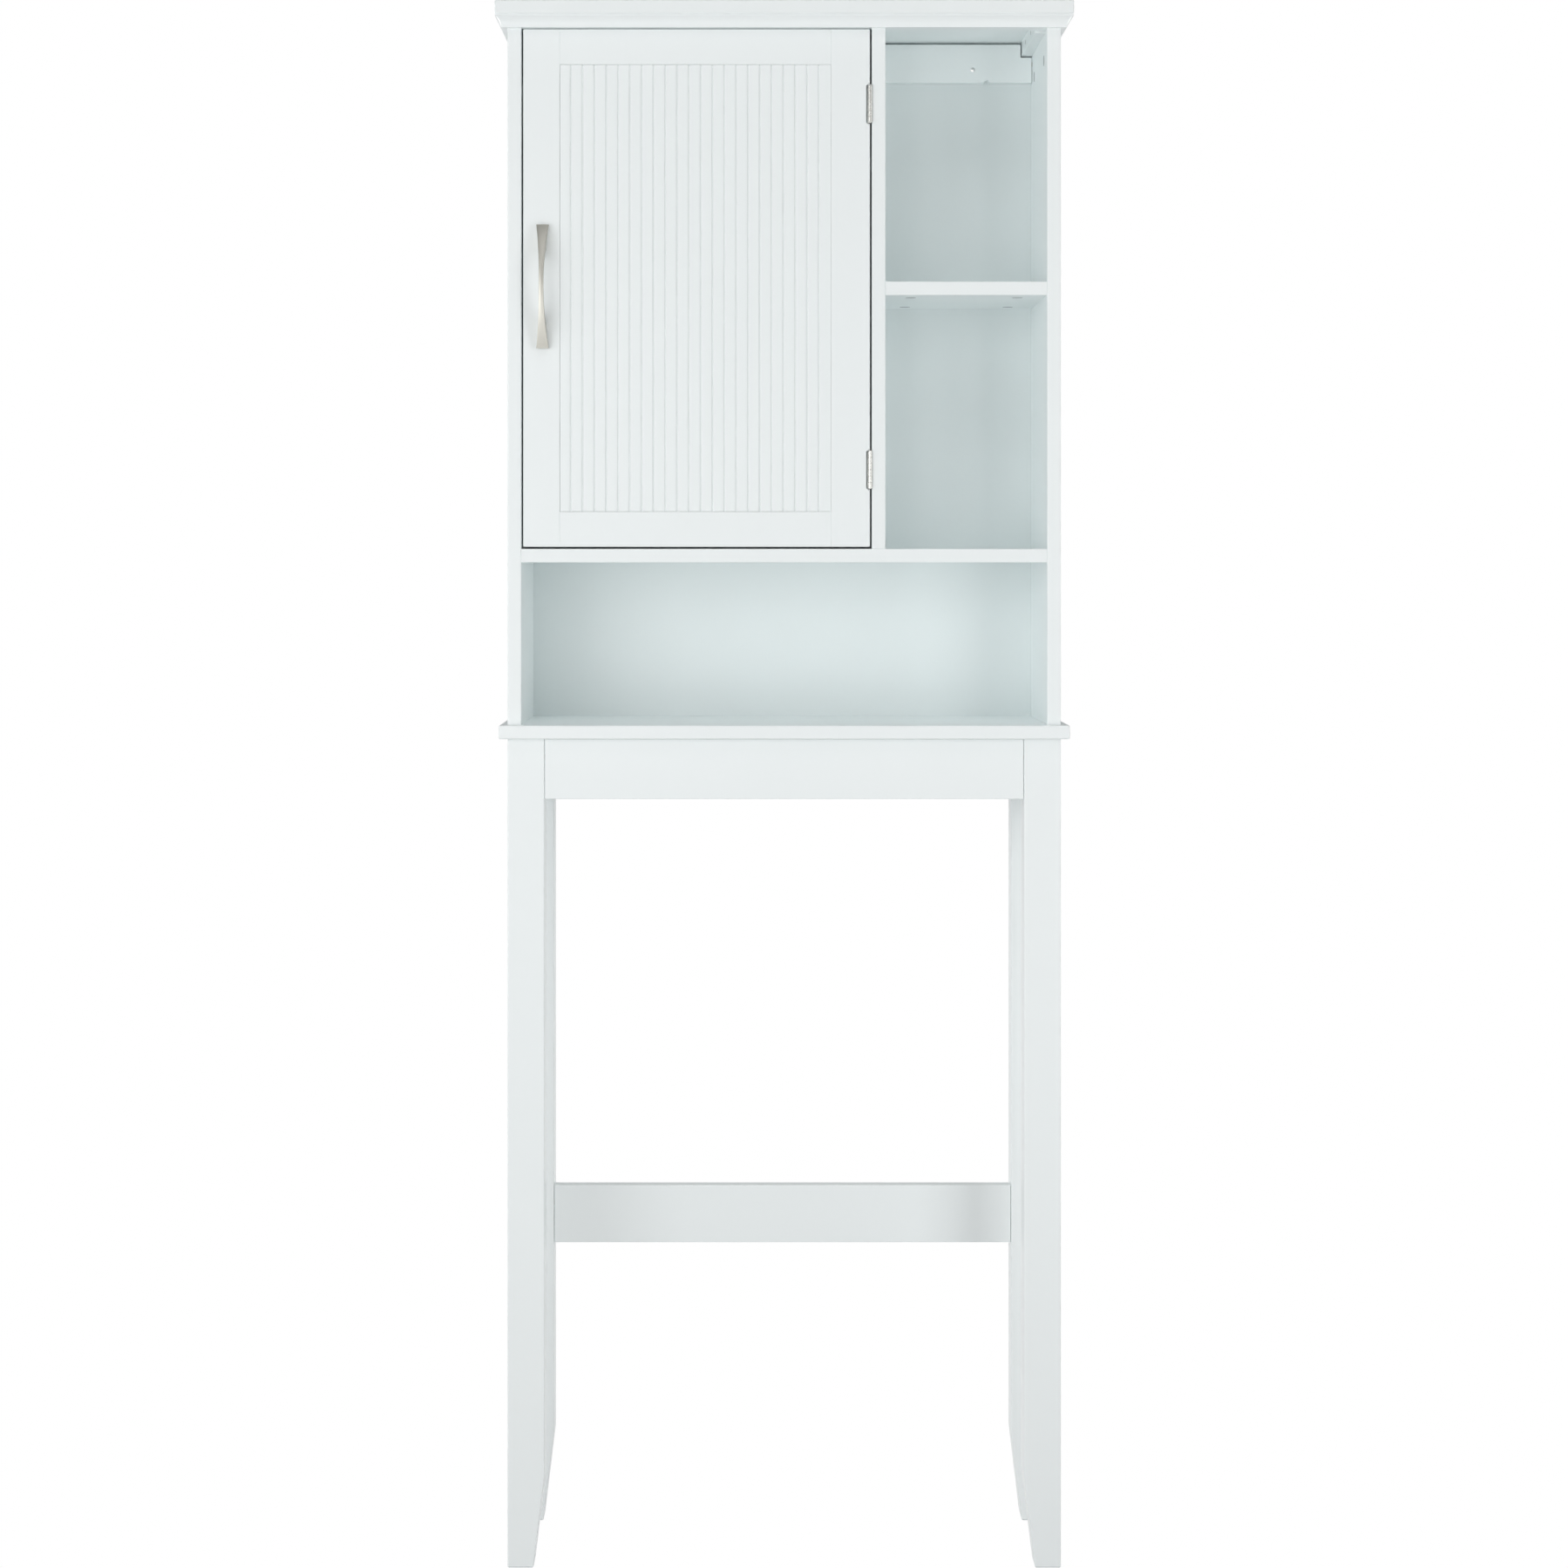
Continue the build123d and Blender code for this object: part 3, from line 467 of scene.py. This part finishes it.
def cross_recess(bm, length, width, depth):
    """Sinks a cross, a little narrower at its floor, into the flat face at height nought."""
    narrowing = (0.8, 0.8, 1.0)
    for size in (length, width):
        for normal in (Vector((1, 0, 0)), Vector((0, 1, 0))):
            for side in (-0.5, 0.5):
                faces = [f for f in bm.faces if is_head(f)]
                edges = once(edge for face in faces for edge in face.edges)
                verts = once(vert for face in faces for vert in face.verts)
                cut(bm, verts + edges + faces, normal * side * size, normal)
    inside = []
    for face in bm.faces:
        centre = face.calc_center_median()
        near, far = sorted((abs(centre.x), abs(centre.y)))
        if is_head(face) and near < width / 2 and far < length / 2:
            inside.append(face)
    sunk = bmesh.ops.extrude_face_region(bm, geom=inside)["geom"]
    floor = [v for v in sunk if isinstance(v, bmesh.types.BMVert)]
    bmesh.ops.translate(bm, vec=(0, 0, depth), verts=floor)
    bmesh.ops.scale(bm, vec=narrowing, verts=floor)


def placed(point, direction):
    """The matrix that takes +Z to a direction and the origin to a point."""
    turn = Vector(direction).to_track_quat("Z", "Y").to_matrix().to_4x4()
    return Matrix.Translation(point) @ turn


def add_copies(bm, pattern, places):
    """Adds the pattern to a mesh at every place, and returns the mesh."""
    source = bpy.data.meshes.new("pattern")
    bmesh.ops.recalc_face_normals(pattern, faces=pattern.faces)
    pattern.to_mesh(source)
    pattern.free()
    for place in places:
        present = set(bm.verts)
        bm.from_mesh(source)
        added = [vert for vert in bm.verts if vert not in present]
        bmesh.ops.transform(bm, matrix=place, verts=added)
    bpy.data.meshes.remove(source)
    return bm


def piece(bm, name, body, slot, *nodes, smooth=40.0, look=None):
    """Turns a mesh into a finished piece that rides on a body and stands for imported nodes."""
    if not bm.faces:
        raise RuntimeError(name + " has no faces")
    bmesh.ops.recalc_face_normals(bm, faces=bm.faces)
    mesh = bpy.data.meshes.new(name)
    bm.to_mesh(mesh)
    bm.free()
    mesh.shade_smooth()
    mesh.set_sharp_from_angle(angle=math.radians(smooth))
    mesh.materials.append(finish(look or slot))
    made = bpy.data.objects.new(name, mesh)
    bpy.context.scene.collection.objects.link(made)
    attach(made, body)
    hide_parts(*nodes)


def coat(slot, *names):
    """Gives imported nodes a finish."""
    for name in names:
        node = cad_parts[name]
        node.data.materials.clear()
        node.data.materials.append(finish(slot))


# ---- operators ----------------------------------------------------------------------------------
class RACK_OT_cabinet(bpy.types.Operator):
    """Paint the cabinet's boards, mouldings, rails and battens"""
    bl_idname = "rack.cabinet"
    bl_label = "Cabinet boards"

    def execute(self, context):
        coat("white_paint", "top_board", "cornice_front", "cornice_left", "cornice_right",
             "left_side_panel", "right_side_panel", "divider_panel", "middle_shelf", "open_shelf",
             "cupboard_shelf", "wall_rail", "front_top_rail", "top_batten_left",
             "top_batten_right")
        coat("white_hardboard", "back_panel")
        return {"FINISHED"}


class RACK_OT_base(bpy.types.Operator):
    """Paint the base's top, legs, aprons and stretcher"""
    bl_idname = "rack.base"
    bl_label = "Base"

    def execute(self, context):
        coat("white_paint", "base_top", "leg_front_left", "leg_front_right", "leg_back_left",
             "leg_back_right", "front_apron", "back_apron", "lower_stretcher", "side_apron_left",
             "side_apron_right")
        return {"FINISHED"}


class RACK_OT_door_frame(bpy.types.Operator):
    """Paint the door's stiles and rails"""
    bl_idname = "rack.door_frame"
    bl_label = "Door frame"

    def execute(self, context):
        coat("white_paint", "door_handle_stile", "door_hinge_stile", "door_top_rail",
             "door_bottom_rail")
        return {"FINISHED"}


class RACK_OT_bead_panel(bpy.types.Operator):
    """Make the door's grooved panel with softly rounded grooves"""
    bl_idname = "rack.bead_panel"
    bl_label = "Bead panel"

    def execute(self, context):
        settings = context.scene.rack_panel
        left = high("door_handle_stile").x
        right = low("door_hinge_stile").x
        bottom = high("door_bottom_rail").z
        top = low("door_top_rail").z
        margin = 0.25 * MM
        bm = bmesh.new()
        box(bm, (left + margin, PANEL_FACE, bottom + margin),
            (right - margin, high("door_bead_panel").y, top - margin))
        centres = [left + settings.first + i * settings.pitch for i in range(settings.beads)]
        wide = settings.half_width
        fullness = 0.8
        # places of the cuts across a groove, in half widths
        shares = (-1.2, -1.0, -0.82, -0.62, -0.40, -0.18, 0.0, 0.18, 0.40, 0.62, 0.82, 1.0, 1.2)
        for centre in centres:
            for along in shares:
                cut(bm, whole(bm), (centre + along * wide, 0, 0), (1, 0, 0))
        for vert in bm.verts:
            if abs(vert.co.y - PANEL_FACE) < LEVEL:
                nearest = min(abs(vert.co.x - centre) for centre in centres)
                if nearest < wide:
                    fall = 0.5 + 0.5 * math.cos(math.pi * nearest / wide)
                    vert.co.y += settings.depth * fall ** fullness
        tongue, half_tongue = 7.75 * MM, 2.0 * MM
        middle = FRONT + 7.0 * MM
        box(bm, (left - tongue, middle - half_tongue, bottom - tongue),
            (right + tongue, middle + half_tongue, top + tongue))
        # The panel takes the lacquer with painted shade down its grooves.
        piece(bm, "beaded_door_panel", "door", "white_paint", "door_bead_panel", smooth=50.0,
              look="grooved_paint")
        return {"FINISHED"}


class RACK_OT_handle(bpy.types.Operator):
    """Make the bow handle: a waisted arch with rounded edges and flared feet"""
    bl_idname = "rack.handle"
    bl_label = "Bow handle"

    def execute(self, context):
        settings = context.scene.rack_handle
        corner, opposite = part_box("handle")
        centre = middle_of("handle")
        tip = (opposite.z - corner.z) / 2
        wide = (opposite.x - corner.x) / 2
        crown = FRONT - corner.y
        waist = settings.waist / 2
        toe, toe_lift = 7.0 * MM, 2.6 * MM
        flare = 2.6
        slices = 28
        rounding_steps = 4

        def arc(height, chord, rise):
            """Distance below the top of an arc of that chord and rise."""
            radius = (chord ** 2 + rise ** 2) / (2 * rise)
            return radius - math.sqrt(max(radius ** 2 - height ** 2, 0.0))

        def outer(height):
            """How far the front face stands off the door."""
            return crown - arc(height, tip, crown - settings.tip_out)

        def inner(height):
            """How far the rear face stands off the door."""
            reach = crown - settings.thickness
            if height < settings.foot:
                return reach - arc(height, settings.foot, reach)
            return toe_lift * max(height - (tip - toe), 0.0) / toe

        bm = bmesh.new()
        bmesh.ops.create_cube(bm, size=2.0)
        stations = [i / slices for i in range(1 - slices, slices)]
        stations += [side * settings.foot / tip for side in (-1, 1)]
        for station in stations:
            cut(bm, whole(bm), (0, 0, station), UP)
        for station in (-0.45, 0.0, 0.45):
            cut(bm, whole(bm), (station, 0, 0), (1, 0, 0))
        # the edges of the bar itself, which lie on two of the cube's sides at once
        slack = 1e-5
        rims = [e for e in bm.edges
                if sum(all(abs(abs(v.co[axis]) - 1) < slack for v in e.verts)
                       for axis in range(3)) >= 2]
        for vert in bm.verts:
            across, depth, along = vert.co
            height = abs(along) * tip
            half = waist + (wide - waist) * abs(along) ** flare
            near = inner(height)
            far = outer(height) - settings.crown * across * across
            vert.co = (centre.x + across * half, FRONT - near - (far - near) * (1 - depth) / 2,
                       centre.z + along * tip)
        bevel(bm, rims, settings.rounding, rounding_steps)
        piece(bm, "bow_handle", "door", "satin_nickel", "handle", smooth=60.0)
        return {"FINISHED"}


class RACK_OT_hinges(bpy.types.Operator):
    """Make the butt hinges: leaves with rolled knuckles, and their pins"""
    bl_idname = "rack.hinges"
    bl_label = "Hinges"

    def leaf(self, settings, place, side):
        """One leaf. Side 1 is the divider's and -1 the door's."""
        kind, body = ("frame", "root") if side > 0 else ("door", "door")
        node = place + "_hinge_" + kind + "_leaf"
        corner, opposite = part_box(node)
        axis = middle_of(place + "_hinge_pin")
        outer = axis.x + side * (settings.barrel + LEAF_OFFSET)
        x = sorted((outer - side * settings.leaf, outer))
        web_depth, overlap = 0.8 * MM, 0.1 * MM
        plate_start = axis.y + settings.barrel + web_depth
        corner_radius, plate_edge, web_edge, tube_edge = 3.0 * MM, 0.15 * MM, 0.12 * MM, 0.22 * MM
        sharp = 1.0
        bore = settings.pin * 1.05
        bm = bmesh.new()
        plate = box(bm, (x[0], plate_start, corner.z), (x[1], opposite.y, opposite.z))
        far = [e for e in edges_of(plate) if all(v.co.y > opposite.y - LEVEL for v in e.verts)
               and abs(e.verts[0].co.x - e.verts[1].co.x) > LEVEL]
        bevel(bm, far, corner_radius, 6)
        bevel(bm, [e for e in bm.edges if e.calc_face_angle(0) > sharp], plate_edge, 2)
        step = (opposite.z - corner.z) / settings.knuckles
        for index in range(0 if side > 0 else 1, settings.knuckles, 2):
            bottom = corner.z + index * step + settings.gap / 2
            top = bottom + step - settings.gap
            tube = bmesh.new()
            turned(tube, [(bore, bottom), (settings.barrel - tube_edge, bottom),
                          (settings.barrel, bottom + tube_edge), (settings.barrel, top - tube_edge),
                          (settings.barrel - tube_edge, top), (bore, top)],
                   steps=32, closed=True)
            add_copies(bm, tube, [Matrix.Translation((axis.x, axis.y, 0))])
            web = box(bm, (x[0], axis.y, bottom), (x[1], plate_start + overlap, top))
            bevel(bm, edges_of(web), web_edge, 2)
        piece(bm, place + "_butt_hinge_" + kind, body, "hinge_nickel", node)

    def pin(self, settings, place):
        """The pin, with a flat domed head at its top."""
        node = place + "_hinge_pin"
        axis = middle_of(node)
        bottom, top = low(node).z, high(node).z
        radius = settings.pin
        head = settings.barrel - 0.4 * MM
        head_bottom, head_side = top - 0.95 * MM, top - 0.6 * MM
        bm = bmesh.new()
        turned(bm, [(0, bottom), (radius * 0.6, bottom + 0.1 * MM), (radius, bottom + 0.45 * MM),
                    (radius, head_bottom), (head, head_bottom), (head, head_side),
                    (head * 0.8, top - 0.2 * MM), (head * 0.4, top - 0.03 * MM), (0, top)])
        bmesh.ops.translate(bm, vec=(axis.x, axis.y, 0), verts=bm.verts)
        piece(bm, place + "_butt_hinge_pin", "root", "hinge_nickel", node)

    def execute(self, context):
        settings = context.scene.rack_hinge
        for place in ("upper", "lower"):
            for side in (-1, 1):
                self.leaf(settings, place, side)
            self.pin(settings, place)
        return {"FINISHED"}


def countersunk(kind):
    """A countersunk wood screw along +Z, its flat head at the origin."""
    length, radius, head_radius, head_height = (size * MM for size in SCREWS[kind])
    point = 3.0 * MM
    ease = 0.05 * head_radius
    root = 0.74 * radius
    pitch = radius
    profile = [(head_radius - 2 * ease, 0.0), (head_radius, ease), (head_radius, 2 * ease),
               (0.92 * radius, head_height)]
    height = head_height + 1.5 * pitch
    while height + pitch < length - point:
        profile += [(root, height), (radius, height + pitch / 2)]
        height += pitch
    profile += [(root, length - point), (radius / 2, length - point / 2), (0, length)]
    bm = bmesh.new()
    turned(bm, profile, steps=24)
    fill_holes(bm)
    cross_recess(bm, head_radius * 1.05, head_radius * 0.27, head_height * 0.6)
    return bm


class RACK_OT_screws(bpy.types.Operator):
    """Make the cross-head screws of the hinges, catch, battens, joints and handle"""
    bl_idname = "rack.screws"
    bl_label = "Screws"

    def add(self, kind, places, name, body, slot, node):
        """One piece with a screw of a kind at every place."""
        bm = add_copies(bmesh.new(), countersunk(kind), places)
        piece(bm, name, body, slot, node)

    def hinge_screws(self, settings):
        """Two screws in every leaf, from its inner face into the wood."""
        seat = settings.barrel + LEAF_OFFSET - settings.leaf
        inset = 9 * MM
        half_span = 12 * MM
        for kind, side, body in (("frame", 1, "root"), ("door", -1, "door")):
            places = []
            for level in ("upper", "lower"):
                axis = middle_of(level + "_hinge_pin")
                middle = middle_of(level + "_hinge_frame_leaf").z
                for offset in (-half_span, half_span):
                    head = (axis.x + side * seat, FRONT + inset, middle + offset)
                    places.append(placed(head, (side, 0, 0)))
            self.add("hinge", places, "hinge_screws_" + kind, body, "plated_steel",
                     "hinge_" + kind + "_screws")

    def catch_screws(self):
        """One screw in the strike plate and two in the catch."""
        centre = middle_of("strike_screw")
        head = (centre.x, high("strike_screw").y, centre.z)
        self.add("strike", [placed(head, (0, -1, 0))], "strike_plate_screw", "door",
                 "plated_steel", "strike_screw")
        corner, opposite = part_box("catch_screws")
        margin = 2.8 * MM
        places = [placed((opposite.x, (corner.y + opposite.y) / 2, z), (-1, 0, 0))
                  for z in (corner.z + margin, opposite.z - margin)]
        self.add("catch", places, "catch_case_screws", "root", "plated_steel", "catch_screws")

    def board_screws(self):
        """Screws through the battens, and up through the shelf and the base's top."""
        corner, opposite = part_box("batten_screws")
        margin = 3 * MM
        level = (corner.z + opposite.z) / 2
        face = high("top_batten_left").x
        places = [placed((side * -face, y, level), (side, 0, 0)) for side in (-1, 1)
                  for y in (corner.y + margin, opposite.y - margin)]
        self.add("batten", places, "batten_fixing_screws", "root", "zinc_steel", "batten_screws")

        base_rows = (55 * MM, 135 * MM)
        shelf_rows = (43 * MM, 163 * MM)
        middle = BOARD / 2
        places = [placed((side * (INNER + middle), FRONT + row, BASE_BOTTOM), UP)
                  for side in (-1, 1) for row in base_rows]
        places += [placed((DIVIDER[0] + middle, FRONT + row, low("middle_shelf").z), UP)
                   for row in shelf_rows]
        self.add("joint", places, "joint_fixing_screws", "root", "zinc_steel", "joint_screws")

    def handle_screws(self):
        """Pan-head machine screws through the stile into the handle's feet."""
        corner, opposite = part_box("handle_screws")
        reach = opposite.y - corner.y
        pan, pan_height, radius = 4.0 * MM, 2.4 * MM, 2.0 * MM
        bm = bmesh.new()
        turned(bm, [(pan * 0.62, 0.0), (pan * 0.86, 0.35 * MM), (pan, pan_height / 2),
                    (pan, pan_height), (radius, pan_height), (radius, reach - 0.5 * MM),
                    (radius * 0.7, reach), (0, reach)])
        fill_holes(bm)
        cross_recess(bm, 4.2 * MM, 0.9 * MM, 1.3 * MM)
        places = [placed(((corner.x + opposite.x) / 2, opposite.y, z), (0, -1, 0))
                  for z in (corner.z + pan, opposite.z - pan)]
        piece(add_copies(bmesh.new(), bm, places), "handle_fixing_screws", "door",
              "plated_steel", "handle_screws")

    def execute(self, context):
        self.hinge_screws(context.scene.rack_hinge)
        self.catch_screws()
        self.board_screws()
        self.handle_screws()
        return {"FINISHED"}


class RACK_OT_cams(bpy.types.Operator):
    """Make the cast cam locks that show on the boards' inner faces, and coat their bolts"""
    bl_idname = "rack.cams"
    bl_label = "Cam locks"

    def places(self):
        """The place and the way in of every cam."""
        setback = 29 * MM
        rows = (FRONT + 35 * MM, FRONT + 155 * MM)
        top_row_shift, below_top = 12 * MM, 43 * MM
        above_edge, below_base, across = 20 * MM, 32 * MM, 150 * MM
        found = []
        for node, spans in (("open_shelf", (DIVIDER[1] + setback, INNER - setback)),
                            ("middle_shelf", (-INNER + setback, INNER - setback))):
            found += [((x, y, low(node).z), UP) for x in spans for y in rows]
        level = CAP_BOTTOM - below_top
        for y in (rows[0], rows[1] - top_row_shift):
            found += [((-INNER, y, level), (-1, 0, 0)), ((INNER, y, level), (1, 0, 0)),
                      ((DIVIDER[0], y, level), (1, 0, 0))]
        for node, way in (("front_apron", -1), ("back_apron", 1), ("lower_stretcher", -1)):
            corner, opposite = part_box(node)
            face = opposite.y if way < 0 else corner.y
            inward = (0, way, 0)
            for side in (-1, 1):
                end = side * (opposite.x - setback)
                found.append(((end, face, corner.z + above_edge), inward))
                if node != "lower_stretcher":
                    found.append(((side * across, face, BASE_BOTTOM - below_base), inward))
        return [placed(point, direction) for point, direction in found]

    def execute(self, context):
        radius, depth = 6.0 * MM, 11.4 * MM
        # from the face to the back: how far inside the rim and how deep, in millimetres
        profile = ((1.1, 0.0), (1.0, 0.25), (0.7, 0.25), (0.6, 0.0), (0.15, 0.0), (0.0, 0.2),
                   (0.0, 11.0), (0.4, 11.4))
        bm = bmesh.new()
        turned(bm, [(radius - inset * MM, height * MM) for inset, height in profile] + [(0, depth)],
               steps=40)
        fill_holes(bm)
        cross_recess(bm, 7.0 * MM, 1.3 * MM, 1.6 * MM)
        piece(add_copies(bmesh.new(), bm, self.places()), "cam_lock_discs", "root", "cast_zinc",
              "cam_locks")
        coat("zinc_steel", "cam_bolts")
        coat("beech", "wood_dowels")
        return {"FINISHED"}


class RACK_OT_shelf_pins(bpy.types.Operator):
    """Make the pegs that hold the loose shelf"""
    bl_idname = "rack.shelf_pins"
    bl_label = "Shelf pins"

    def execute(self, context):
        corner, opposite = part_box("shelf_pins")
        peg, flange, reach, sunk = 2.5 * MM, 4.0 * MM, 16 * MM, 8 * MM
        flange_start, flange_end, flange_edge = 6.5 * MM, 7.9 * MM, 0.2 * MM
        blunt, point = 0.5 * MM, 0.6 * MM
        level = corner.z + flange
        rows = (corner.y + flange, opposite.y - flange)
        walls = ((-INNER + sunk, -1), (DIVIDER[0] - sunk, 1))
        seat = low("cupboard_shelf").z - 0.05 * MM
        bm = bmesh.new()
        turned(bm, [(0, 0), (peg - blunt, 0), (peg, blunt), (peg, flange_start),
                    (flange - flange_edge, flange_start), (flange, flange_start + flange_edge),
                    (flange, flange_end - flange_edge), (flange - flange_edge, flange_end),
                    (peg, flange_end), (peg, reach - point), (peg - point, reach), (0, reach)])
        places = [placed((x, y, level), (way, 0, 0)) for x, way in walls for y in rows]
        bm = add_copies(bmesh.new(), bm, places)
        bmesh.ops.bisect_plane(bm, geom=whole(bm), dist=TOUCH, plane_co=(0, 0, seat),
                               plane_no=UP, clear_outer=True)
        fill_holes(bm)
        piece(bm, "shelf_support_pins", "root", "plated_steel", "shelf_pins")
        return {"FINISHED"}


class RACK_OT_catch(bpy.types.Operator):
    """Coat the magnetic catch and its strike plate"""
    bl_idname = "rack.catch"
    bl_label = "Magnetic catch"

    def execute(self, context):
        coat("white_plastic", "catch_case")
        coat("magnet_steel", "catch_magnet")
        coat("plated_steel", "strike_plate")
        return {"FINISHED"}


class RACK_OT_stage(bpy.types.Operator):
    """Set the pale floor, the soft lights and the camera"""
    bl_idname = "rack.stage"
    bl_label = "Stage"

    # name, place, width and height in metres, share of the whole power
    soft_boxes = (("left_near", (-1.7, -2.4, 1.1), 1.2, 1.8, 0.193),
                  ("left_far", (-3.0, -1.8, 1.3), 1.5, 2.0, 0.128),
                  ("front", (-0.7, -2.2, 1.0), 0.8, 2.0, 0.078),
                  ("right_near", (0.9, -1.45, 0.95), 0.5, 2.0, 0.076),
                  ("right_far", (2.8, -1.9, 1.3), 1.5, 2.0, 0.074),
                  ("top", (0.0, -1.6, 3.2), 2.0, 1.2, 0.125),
                  ("top_back", (0.0, 0.9, 3.4), 1.8, 1.2, 0.120),
                  ("side_left", (-2.6, 0.3, 1.25), 1.5, 2.4, 0.160),
                  ("side_right", (2.6, 0.3, 1.25), 1.5, 2.4, 0.160),
                  ("back_left", (-1.6, 2.6, 1.7), 1.4, 2.0, 0.200),
                  ("back_right", (1.6, 2.6, 1.7), 1.4, 2.0, 0.200))

    aim = Vector((0, 0, 0.95))
    floor_radius = 14.0
    floor_tones = ((0.54, 0.54, 0.54), (0.51, 0.51, 0.51))
    sight = 60.0

    def floor(self, glow):
        """A wide pale disc. Seen or mirrored, it is as bright as the white behind."""
        bm = bmesh.new()
        bmesh.ops.create_circle(bm, cap_ends=True, radius=self.floor_radius, segments=96)
        mesh = bpy.data.meshes.new("floor")
        bm.to_mesh(mesh)
        bm.free()
        pale = Finish("floor_pale", Specular_IOR_Level=0.1)
        cloud = pale.noise(scale=1.2, detail=3.0)
        pale.feed(Base_Color=pale.between(cloud, *self.floor_tones))
        pale.feed(Roughness=0.75 + 0.1 * cloud)
        white = pale.node("ShaderNodeEmission", {}, {"Strength": glow})
        seen = pale.node("ShaderNodeLightPath", {}, {}, "Is Camera Ray")
        mirrored = pale.node("ShaderNodeLightPath", {}, {}, "Is Glossy Ray")
        lit = Shade(pale.tree, pale.shader.outputs["BSDF"])
        both = pale.node("ShaderNodeMixShader", {}, {0: seen + mirrored, 1: lit, 2: white})
        pale.tree.links.new(both.socket, pale.tree.nodes["Material Output"].inputs["Surface"])
        mesh.materials.append(pale.material)
        floor = bpy.data.objects.new("floor", mesh)
        bpy.context.scene.collection.objects.link(floor)

    def surroundings(self, strength):
        """White behind everything, and a faint even light from all round."""
        world = bpy.data.worlds.new("studio")
        bpy.context.scene.world = world
        world.use_nodes = True
        world.node_tree.nodes.clear()
        sky = Shade(world.node_tree)
        light = sky.node("ShaderNodeBackground", {}, {"Color": (1, 1, 1, 1), "Strength": strength})
        white = sky.node("ShaderNodeBackground", {}, {"Color": (1, 1, 1, 1), "Strength": 1.0})
        seen = sky.node("ShaderNodeLightPath", {}, {}, "Is Camera Ray")
        both = sky.node("ShaderNodeMixShader", {}, {0: seen, 1: light, 2: white})
        sky.node("ShaderNodeOutputWorld", {}, {"Surface": both})

    def soft_light(self, name, place, width, height, power):
        """A rectangle of light, out of the camera's sight, that shines on the rack's middle."""
        data = bpy.data.lights.new(name, "AREA")
        data.shape = "RECTANGLE"
        data.size = width
        data.size_y = height
        data.energy = power
        light = bpy.data.objects.new(name, data)
        light.matrix_world = placed(place, Vector(place) - self.aim)
        light.visible_camera = False
        bpy.context.scene.collection.objects.link(light)

    def execute(self, context):
        scene = context.scene
        settings = scene.rack_stage
        self.floor(settings.glow)
        self.surroundings(settings.sky)
        for name, place, width, height, portion in self.soft_boxes:
            self.soft_light(name, place, width, height, settings.power * portion)
        data = bpy.data.cameras.new("camera")
        data.lens = settings.lens
        data.shift_x, data.shift_y = settings.shift
        data.clip_end = self.sight
        camera = bpy.data.objects.new("camera", data)
        camera.location = settings.eye
        camera.rotation_euler = (math.pi / 2, 0, 0)
        scene.collection.objects.link(camera)
        scene.camera = camera
        scene.view_settings.view_transform = "Standard"
        scene.cycles.diffuse_bounces = 8
        return {"FINISHED"}


OPERATORS = (RACK_OT_cabinet, RACK_OT_base, RACK_OT_door_frame, RACK_OT_bead_panel,
             RACK_OT_handle, RACK_OT_hinges, RACK_OT_screws, RACK_OT_cams, RACK_OT_shelf_pins,
             RACK_OT_catch, RACK_OT_stage)
SETTINGS = {"rack_paint": PaintSettings, "rack_back": BackSettings, "rack_metal": MetalSettings,
            "rack_panel": PanelSettings, "rack_handle": HandleSettings,
            "rack_hinge": HingeSettings, "rack_stage": StageSettings}


class RACK_PT_sidebar(bpy.types.Panel):
    """The rack's steps and settings"""
    bl_idname = "RACK_PT_sidebar"
    bl_label = "Storage rack"
    bl_space_type = "VIEW_3D"
    bl_region_type = "UI"
    bl_category = "Rack"

    def draw(self, context):
        for operator in OPERATORS:
            self.layout.operator(operator.bl_idname)
        for name, group in SETTINGS.items():
            box_layout = self.layout.box()
            for field in group.__annotations__:
                box_layout.prop(getattr(context.scene, name), field)


def register():
    for group in SETTINGS.values():
        bpy.utils.register_class(group)
    for name, group in SETTINGS.items():
        setattr(bpy.types.Scene, name, PointerProperty(type=group))
    for made in (*OPERATORS, RACK_PT_sidebar):
        bpy.utils.register_class(made)


def unregister():
    for made in reversed((*OPERATORS, RACK_PT_sidebar)):
        bpy.utils.unregister_class(made)
    for name in SETTINGS:
        delattr(bpy.types.Scene, name)
    for group in reversed(SETTINGS.values()):
        bpy.utils.unregister_class(group)


def main():
    """Registers the add-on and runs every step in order."""
    register()
    for operator in OPERATORS:
        family, step = operator.bl_idname.split(".")
        getattr(getattr(bpy.ops, family), step)()


if __name__ == "__main__":
    main()
